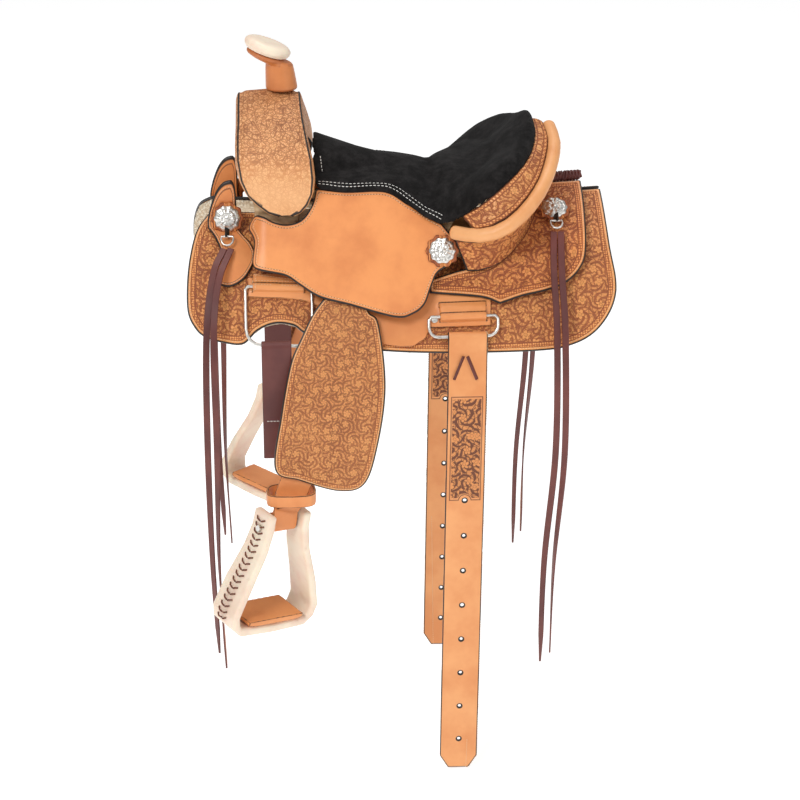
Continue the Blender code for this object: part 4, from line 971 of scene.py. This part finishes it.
def clip_and_dee(name, place, normal, down):
    """The folded clip under a concho and the small dee that holds the strings."""
    side = normal.cross(down).normalized()
    top = place + normal * 0.0016 + down * (CONCHO_RADIUS - 0.003)
    clip = [tube(name + "_clip", [top, top + down * 0.008, top + down * 0.0125],
                 lambda t: (0.0048, 0.0012), TAN_PLAIN)]
    ring_top = top + down * 0.0115
    outline = [(-0.0075, 0.0), (0.0, 0.0), (0.0075, 0.0), (0.0078, 0.004), (0.0065, 0.0085), (0.0035, 0.0115),
               (0.0, 0.0125), (-0.0035, 0.0115), (-0.0065, 0.0085), (-0.0078, 0.004)]
    path = [ring_top + side * a + down * b for a, b in outline]
    dee = tube(name + "_dee", path, 0.0014, SILVER, True)
    return clip[0], dee


for kind, (x, s, lift, with_ring) in CONCHO_PLACES.items():
    place, normal, down = concho_place(x, s, lift, with_ring)
    turn = Vector((0, 0, 1)).rotation_difference(normal).to_matrix().to_4x4()
    string_tops[kind.replace("concho", "string")] = place + down * (CONCHO_RADIUS + 0.026)
    for side, flip in (("left", Matrix.Identity(4)), ("right", MIRROR)):
        at = flip @ Matrix.Translation(place) @ turn
        disc = laid(CONCHO, f"{kind}_{side}_disc", at, "saddle", "silver", f"{kind}_{side}")
        under = flip @ Matrix.Translation(place - normal * 0.0015) @ turn
        laid(ROSETTE, f"{kind}_{side}_rosette", under, "saddle", "tooled_leather")
        if with_ring:
            fittings = clip_and_dee(f"{kind}_{side}", place, normal, down)
            for part, slot in zip(fittings, ("tan_leather", "silver")):
                part.data.transform(flip)
                if side == "right":
                    part.data.flip_normals()
                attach(part, "saddle")
for master in (CONCHO, ROSETTE):
    bpy.data.objects.remove(master, do_unlink=True)
print("conchos", len(CONCHO_PLACES) * 2)

# %% [markdown]
# ## Saddle strings
# Each string is a flat latigo thong that hangs from its dee and turns slowly as it falls,
# so that its pale flesh side shows now and then.

# %% Strings
STRINGS = {
    "front_string_a": [(-0.243, -0.130, -0.050), (-0.252, -0.172, -0.115), (-0.255, -0.184, -0.250),
                       (-0.254, -0.184, -0.420), (-0.249, -0.182, -0.560)],
    "front_string_b": [(-0.236, -0.140, -0.055), (-0.243, -0.181, -0.115), (-0.243, -0.193, -0.250),
                       (-0.245, -0.193, -0.420), (-0.240, -0.191, -0.578)],
    "rear_string_a": [(0.189, -0.132, -0.052), (0.190, -0.176, -0.125), (0.191, -0.184, -0.280),
                      (0.180, -0.184, -0.435), (0.178, -0.183, -0.584)],
    "rear_string_b": [(0.199, -0.136, -0.056), (0.200, -0.180, -0.125), (0.202, -0.190, -0.280),
                      (0.192, -0.190, -0.435), (0.190, -0.189, -0.568)],
}
STRING_WIDTH = 0.0085


def smooth_path(points, spacing):
    nodes = [Vector(p) for p in points]
    path = []
    for i in range(len(nodes) - 1):
        a, b = nodes[i], nodes[i + 1]
        tangent_a = (b - nodes[max(i - 1, 0)]) * (0.5 if i else 1.0)
        tangent_b = (nodes[min(i + 2, len(nodes) - 1)] - a) * (0.5 if i + 2 < len(nodes) else 1.0)
        pieces = max(1, round((b - a).length / spacing))
        for k in range(pieces):
            t = k / pieces
            path.append(a * (2 * t**3 - 3 * t**2 + 1) + tangent_a * (t**3 - 2 * t**2 + t)
                        + b * (3 * t**2 - 2 * t**3) + tangent_b * (t**3 - t**2))
    return path + [nodes[-1]]


def thong(name, path, width, thick, turn):
    """A flat strip along a path. turn(share) is how far its face has turned from the flank."""
    bm = bmesh.new()
    rings = []
    for i, point in enumerate(path):
        along = (path[min(i + 1, len(path) - 1)] - path[max(i - 1, 0)]).normalized()
        share = i / (len(path) - 1)
        across = Matrix.Rotation(turn(share), 3, along) @ Vector((1, 0, 0))
        across = (across - along * across.dot(along)).normalized()
        out = along.cross(across)
        narrow = 1.0 if share < 0.93 else 1.0 - 0.75 * (share - 0.93) / 0.07
        half, deep = width * 0.5 * narrow, thick * 0.5
        corners = ((-1.0, -0.5), (-0.9, -1.0), (0.9, -1.0), (1.0, -0.5), (1.0, 0.5), (0.9, 1.0), (-0.9, 1.0),
                   (-1.0, 0.5))
        rings.append([bm.verts.new(point + across * half * a + out * deep * b) for a, b in corners])
    for a, b in zip(rings, rings[1:]):
        for k in range(8):
            face = bm.faces.new((a[k], a[(k + 1) % 8], b[(k + 1) % 8], b[k]))
            face.material_index = 1 if k == 1 else 0
    bm.faces.new(rings[0])
    bm.faces.new(list(reversed(rings[-1])))
    bmesh.ops.recalc_face_normals(bm, faces=bm.faces[:])
    mesh = bpy.data.meshes.new(name)
    bm.to_mesh(mesh)
    bm.free()
    mesh.shade_smooth()
    mesh.set_sharp_from_angle(angle=math.radians(50))
    made = new_piece(name, mesh)
    mesh.materials.append(BURGUNDY)
    mesh.materials.append(FLESH)
    return made


FLESH = smooth_leather("flesh_side", tint(0.52, 0.27, 0.17), tint(0.36, 0.16, 0.10),
                       edge=tint(0.30, 0.12, 0.08), rough=0.75)
for name, route in STRINGS.items():
    top = string_tops[name[:-2]] + Vector((0.0045 if name.endswith("b") else -0.0045, 0, 0))
    # The last part of each thong hangs straight, with a slow turn.
    path = smooth_path([top] + route, 0.008)
    lead = 0.9 if name.endswith("a") else 1.7
    for side in SIDES:
        points = path if side == "left" else [mirrored(p) for p in path]
        wound = (lambda share, k=lead, m=(1 if side == "left" else -1): m * k * ease((share - 0.2) / 0.8))
        strand = thong(f"{name}_{side}_thong", points, STRING_WIDTH, 0.0022, wound)
        write_sheet(strand, [], down_straight)
        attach(strand, "saddle")
        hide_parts(f"{name}_{side}")

# %% [markdown]
# ## Stitching
# Stitches follow the cut edge at a set distance. Each edge loop is read from the frame's
# panel, moved inwards along the face, and laid on the worked leather.


# %% Stitches
def edge_loops(node, angle=50):
    """The closed lines of sharp edges on a frame node, as ordered points."""
    bm = bmesh.new()
    bm.from_mesh(frame["nodes"][node].data)
    bmesh.ops.remove_doubles(bm, verts=bm.verts[:], dist=0.00001)
    bm.normal_update()
    marked = {e for e in bm.edges if len(e.link_faces) == 2 and e.calc_face_angle(0.0) > math.radians(angle)}
    loops = []
    while marked:
        edge = marked.pop()
        line = [edge.verts[0], edge.verts[1]]
        while True:
            onward = [e for e in line[-1].link_edges if e in marked]
            if not onward:
                break
            straight = (line[-1].co - line[-2].co).normalized()
            onward.sort(key=lambda e: -(e.other_vert(line[-1]).co - line[-1].co).normalized().dot(straight))
            marked.discard(onward[0])
            line.append(onward[0].other_vert(line[-1]))
        loops.append([v.co.copy() for v in line])
    bm.free()
    return [loop for loop in loops if len(loop) > 6]


def even(points, pitch):
    lengths = [0.0]
    for a, b in zip(points, points[1:]):
        lengths.append(lengths[-1] + (b - a).length)
    count = max(2, round(lengths[-1] / pitch))
    made, i = [], 0
    for k in range(count + 1):
        target = lengths[-1] * k / count
        while i < len(points) - 2 and lengths[i + 1] < target:
            i += 1
        span = max(lengths[i + 1] - lengths[i], 1e-9)
        made.append(points[i].lerp(points[i + 1], min(1.0, (target - lengths[i]) / span)))
    return made


def surface_of(piece):
    return BVHTree.FromObject(piece, bpy.context.evaluated_depsgraph_get())


def stitch_row(name, line, surface, finish, body, length=0.0032, width=0.0007, gap=0.0012):
    """A row of small rounded stitches along a line, half sunk in the leather."""
    points = even(line, length + gap)
    bm = bmesh.new()
    half, rise = length * 0.5, width * 0.9
    shape = ((-1.0, 0.35, -0.4), (-0.6, 1.0, 0.8), (0.6, 1.0, 0.8), (1.0, 0.35, -0.4))
    for a, b in zip(points, points[1:]):
        middle = a.lerp(b, 0.5)
        found, normal, _, far = surface.find_nearest(middle)
        if found is None or far > 0.006:
            continue
        along = (b - a)
        along = (along - normal * along.dot(normal))
        if along.length < 1e-6:
            continue
        along.normalize()
        across = normal.cross(along)
        rings = []
        for t, w, h in shape:
            centre = found + along * half * t + normal * rise * h * 0.5
            rings.append([bm.verts.new(centre + across * width * w * math.cos(1.5708 * k)
                                       + normal * rise * w * math.sin(1.5708 * k)) for k in range(4)])
        for low, high in zip(rings, rings[1:]):
            for k in range(4):
                bm.faces.new((low[k], high[k], high[(k + 1) % 4], low[(k + 1) % 4]))
        bm.faces.new(list(reversed(rings[0])))
        bm.faces.new(rings[-1])
    bmesh.ops.recalc_face_normals(bm, faces=bm.faces[:])
    mesh = bpy.data.meshes.new(name)
    bm.to_mesh(mesh)
    bm.free()
    mesh.shade_smooth()
    mesh.materials.append(finish)
    row = new_piece(name, mesh)
    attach(row, body)
    return row


def inset_line(loop, surface_node, inset, outward):
    """Move a closed loop inwards over the panel's outer face."""
    points = even(loop, 0.004)
    if (points[0] - points[-1]).length < 0.01:
        points[-1] = points[0].copy()
    middle = sum(points, Vector()) / len(points)
    made = []
    count = len(points) - 1
    for i in range(count):
        along = (points[(i + 1) % count] - points[i - 1]).normalized()
        found, normal, _, _ = surface_node.find_nearest(points[i] + (middle - points[i]).normalized() * 0.006)
        if normal.dot(outward(points[i])) < 0:
            normal = -normal
        inward = normal.cross(along).normalized()
        made.append((points[i], inward))
    area = sum(1 if direction.dot(middle - point) > 0 else -1 for point, direction in made)
    if area < 0:
        made = [(point, -direction) for point, direction in made]
    line = [point + direction * inset for point, direction in made]
    return line + [line[0]]


def outer_loop(node, outward):
    loops = edge_loops(node)
    long_loops = sorted(loops, key=lambda l: -sum((b - a).length for a, b in zip(l, l[1:])))[:2]
    return max(long_loops, key=lambda l: sum(outward(p).dot(p) for p in l) / len(l))


def flank_out(point):
    return Vector((0, -1 if point[1] < 0 else 1, 0.4)).normalized()


def sewn(node, inset):
    """One row of stitches inside the pattern's edge."""
    _, outline, place, thick = PATTERNS[node]
    ring = inset_ring(closed_curve(outline, 0.003), inset)
    line = []
    for x, s in list(ring) + [ring[0]]:
        out = (place(x, s + 0.002) - place(x, s - 0.002)).cross(Vector((1, 0, 0))).normalized()
        out = out if out.z - out.y > 0 else -out
        line.append(place(x, s) + out * (thick + 0.0004))
    for side in SIDES:
        name = f"{node}_{side}"
        path = line if side == "left" else [mirrored(p) for p in line]
        skin = surface_of(skins[name])
        stitch_row(name + "_stitches", path, skin, TAN_THREAD, BODY_OF[name], 0.0026, 0.00042,
                   0.0011)


for node, inset in (("seat_jockey", 0.0042), ("rear_jockey", 0.0036), ("front_jockey", 0.0032),
                    ("skirt", 0.0038), ("fender", 0.0032)):
    sewn(node, inset)
for node, inset in (("rigging_plate", 0.0040), ("rear_billet", 0.0034)):
    for side in SIDES:
        name = f"{node}_{side}"
        skin = surface_of(skins[name])
        line = inset_line(outer_loop(name, flank_out), skin, inset, flank_out)
        stitch_row(name + "_stitches", line, skin, TAN_THREAD, BODY_OF[name], 0.0026, 0.00042,
                   0.0011)

# %% Seat stitches: two white rows along the side edge and one up the front
SIDE_EDGE = [(-0.109, 0.0445), (-0.074, 0.0475), (-0.023, 0.0475), (0.008, 0.0615), (0.046, 0.0800)]
seat_skin = surface_of(seat_cushion)
for side in SIDES:
    for row, step in enumerate((0.0022, 0.0062)):
        line = []
        for x, s in SIDE_EDGE:
            point = on_back(x + (step * 0.8 if x > -0.03 else 0), s - step * 0.9,
                            seat_lift(x, s) + LEATHER + 0.006)
            line.append(point if side == "left" else mirrored(point))
        stitch_row(f"seat_row_{side}_{row}", smooth_path(line, 0.005), seat_skin, WHITE_THREAD, "saddle",
                   0.0034, 0.00055, 0.0016)
    front = []
    for k in range(8):
        point = Vector((-0.104, -0.060 + 0.0022 * k, 0.052 + 0.0042 * k))
        front.append(point if side == "left" else mirrored(point))
    stitch_row(f"seat_front_row_{side}", front, seat_skin, WHITE_THREAD, "saddle",
               0.0034, 0.00055, 0.0016)

# %% [markdown]
# ## Lacing and small fittings

# %% Rear lacing, braided over the ridge
lace_parts = []
for strand in range(3):
    path = []
    for k in range(61):
        t = k / 60
        x = 0.186 + 0.050 * t
        swing = math.sin(6.2832 * (4.0 * t + strand / 3.0))
        lift = math.cos(2 * 6.2832 * (4.0 * t + strand / 3.0))
        y = 0.0075 * swing
        base = on_back(x, abs(y), over_tree(x, 0) + LEATHER + 0.0052)
        path.append(Vector((x, y, base.z + 0.0022 * lift)))
    lace_parts.append(tube(f"rear_braid_{strand}", path, lambda t: (0.0034, 0.0018), BURGUNDY))
braid = joined("rear_braid", lace_parts)
write_sheet(braid, [], down_straight)
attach(braid, "saddle")
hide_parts("rear_lacing")

# %% Stirrup lacing, screws and rivets
STIRRUP_BOLT = Vector((-0.164, -0.2085, -0.362))
STIRRUP_AT = (Matrix.Translation(STIRRUP_BOLT) @ Matrix.Rotation(math.radians(11), 4, "Y")
              @ Matrix.Rotation(math.radians(36), 4, "Z"))
BRANCH = [(-0.0345, 0.012), (-0.036, -0.006), (-0.0405, -0.030), (-0.0575, -0.075), (-0.0695, -0.112),
          (-0.0665, -0.130)]


def stirrup_lacing(side):
    """Pairs of short laces down the outer face of each branch."""
    parts = []
    for sign in (-1, 1):
        line = even(smooth_path([Vector((abs(x) * sign, 0, z)) for x, z in BRANCH], 0.004), 0.0085)
        for i, (a, b) in enumerate(zip(line, line[1:])):
            along = (b - a).normalized()
            out = Vector((along.z, 0, -along.x)) * (1 if along.z * sign > 0 else -1)
            for half in (-1, 1):
                inner = a + Vector((0, 0.0009 * half, 0)) + along * 0.0022
                outer = a + Vector((0, 0.0085 * half, 0)) - along * 0.0022
                middle = inner.lerp(outer, 0.5) + out * 0.0016
                path = smooth_path([inner - out * 0.0006, middle, outer - out * 0.0006], 0.0025)
                parts.append(tube("stirrup_lace", path, lambda t: (0.0011, 0.0011), BROWN_LACE, sides=6))
    made = joined(f"stirrup_lacing_{side}", parts)
    made.data.transform(STIRRUP_AT if side == "left" else MIRROR @ STIRRUP_AT)
    if side == "right":
        made.data.flip_normals()
    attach(made, f"stirrup_{side}_body")


SCREW = ringed_disc("screw_master", ((0.0008, 0.0020), (0.0010, 0.0014), (0.0030, 0.0019), (0.0045, 0.0012),
                                     (0.0050, 0.0003), (0.0048, 0.0)), SILVER, 0.0, 0.0)


def pinned(name, node, point, slot="silver"):
    """A screw head or rivet on the worked leather nearest to this point."""
    skin = surface_of(skins[node])
    found, normal, _, _ = skin.find_nearest(point)
    turn = Vector((0, 0, 1)).rotation_difference(normal).to_matrix().to_4x4()
    laid(SCREW, name, Matrix.Translation(found + normal * 0.0001) @ turn, BODY_OF[node], slot)


for side in SIDES:
    stirrup_lacing(side)
    for name, node, x, s, lift in (("jockey_screw", "seat_jockey", -0.150, 0.093, 0.045),
                                   ("loop_rivet", "rigging_plate", 0.036, 0.180, 0.020)):
        point = on_back(x, s, lift)
        pinned(f"{name}_{side}", f"{node}_{side}", point if side == "left" else mirrored(point))
bpy.data.objects.remove(SCREW, do_unlink=True)

# %% Billet lace and latigo stitch
for side in SIDES:
    skin = surface_of(skins[f"rear_billet_{side}"])
    parts = []
    for sign in (-1, 1):
        path = []
        for k in range(6):
            t = k / 5
            aim = Vector((0.0745 + sign * (0.0025 + 0.0120 * t), -0.30 if side == "left" else 0.30,
                          -0.150 - 0.030 * t))
            hit, normal, _, _ = skin.ray_cast(aim, Vector((0, 1 if side == "left" else -1, 0)))
            if hit is None:
                continue
            path.append(hit + normal * 0.0009)
        if len(path) > 2:
            parts.append(tube("billet_lace", path, lambda t: (0.0030, 0.0010), BURGUNDY))
    if parts:
        lace = joined(f"billet_lace_{side}", parts)
        write_sheet(lace, [], down_straight)
        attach(lace, f"rear_billet_{side}_body")
    node = "latigo_left" if side == "left" else "off_billet_right"
    skin = surface_of(skins[node])
    line = []
    for k in range(9):
        aim = Vector((-0.184 + 0.038 * k / 8, -0.30 if side == "left" else 0.30, -0.2330))
        hit, normal, _, _ = skin.ray_cast(aim, Vector((0, 1 if side == "left" else -1, 0)))
        if hit is not None:
            line.append(hit)
    if len(line) > 2:
        stitch_row(f"latigo_stitch_{side}", line, skin, WHITE_THREAD, BODY_OF[node],
                   0.0036, 0.0006, 0.0004)

# %% [markdown]
# ## Floor and light
# A white sweep, one broad key from the upper left and soft fills keep the silver and the
# black suede readable.

# %% Floor, sky and lights
floor_z = cad_box[0][2] - 0.004


def studio():
    paper = Finish("pale_paper")
    paper.finish(tint(0.80, 0.80, 0.80), 0.95)
    paper.shader.inputs["Emission Color"].default_value = tint(1.0, 1.0, 1.0)
    paper.shader.inputs["Emission Strength"].default_value = 0.60
    bpy.ops.mesh.primitive_plane_add(size=14, location=(0, 2.0, floor_z))
    floor = bpy.context.object
    floor.name = "floor"
    floor.data.materials.append(paper.material)
    world = bpy.data.worlds.new("soft_sky")
    bpy.context.scene.world = world
    world.use_nodes = True
    back = world.node_tree.nodes["Background"]
    back.inputs["Color"].default_value = tint(1.0, 1.0, 1.0)
    ray = world.node_tree.nodes.new("ShaderNodeLightPath")
    level = world.node_tree.nodes.new("ShaderNodeMapRange")
    level.inputs["To Min"].default_value, level.inputs["To Max"].default_value = 0.42, 1.0
    world.node_tree.links.new(ray.outputs["Is Camera Ray"], level.inputs["Value"])
    world.node_tree.links.new(level.outputs["Result"], back.inputs["Strength"])
    for name, place, size, power in (("key", (-1.6, -2.6, 2.4), 1.2, 70.0),
                                     ("fill", (2.4, -2.2, 1.2), 2.2, 22.0),
                                     ("top", (0.2, 0.6, 2.8), 2.0, 34.0)):
        data = bpy.data.lights.new(name, "AREA")
        data.energy, data.size = power, size
        lamp = bpy.data.objects.new(name, data)
        lamp.location = place
        lamp.rotation_euler = (LOOK_AT - Vector(place)).to_track_quat("-Z", "Y").to_euler()
        bpy.context.scene.collection.objects.link(lamp)


studio()
bpy.context.scene.view_settings.view_transform = "Standard"
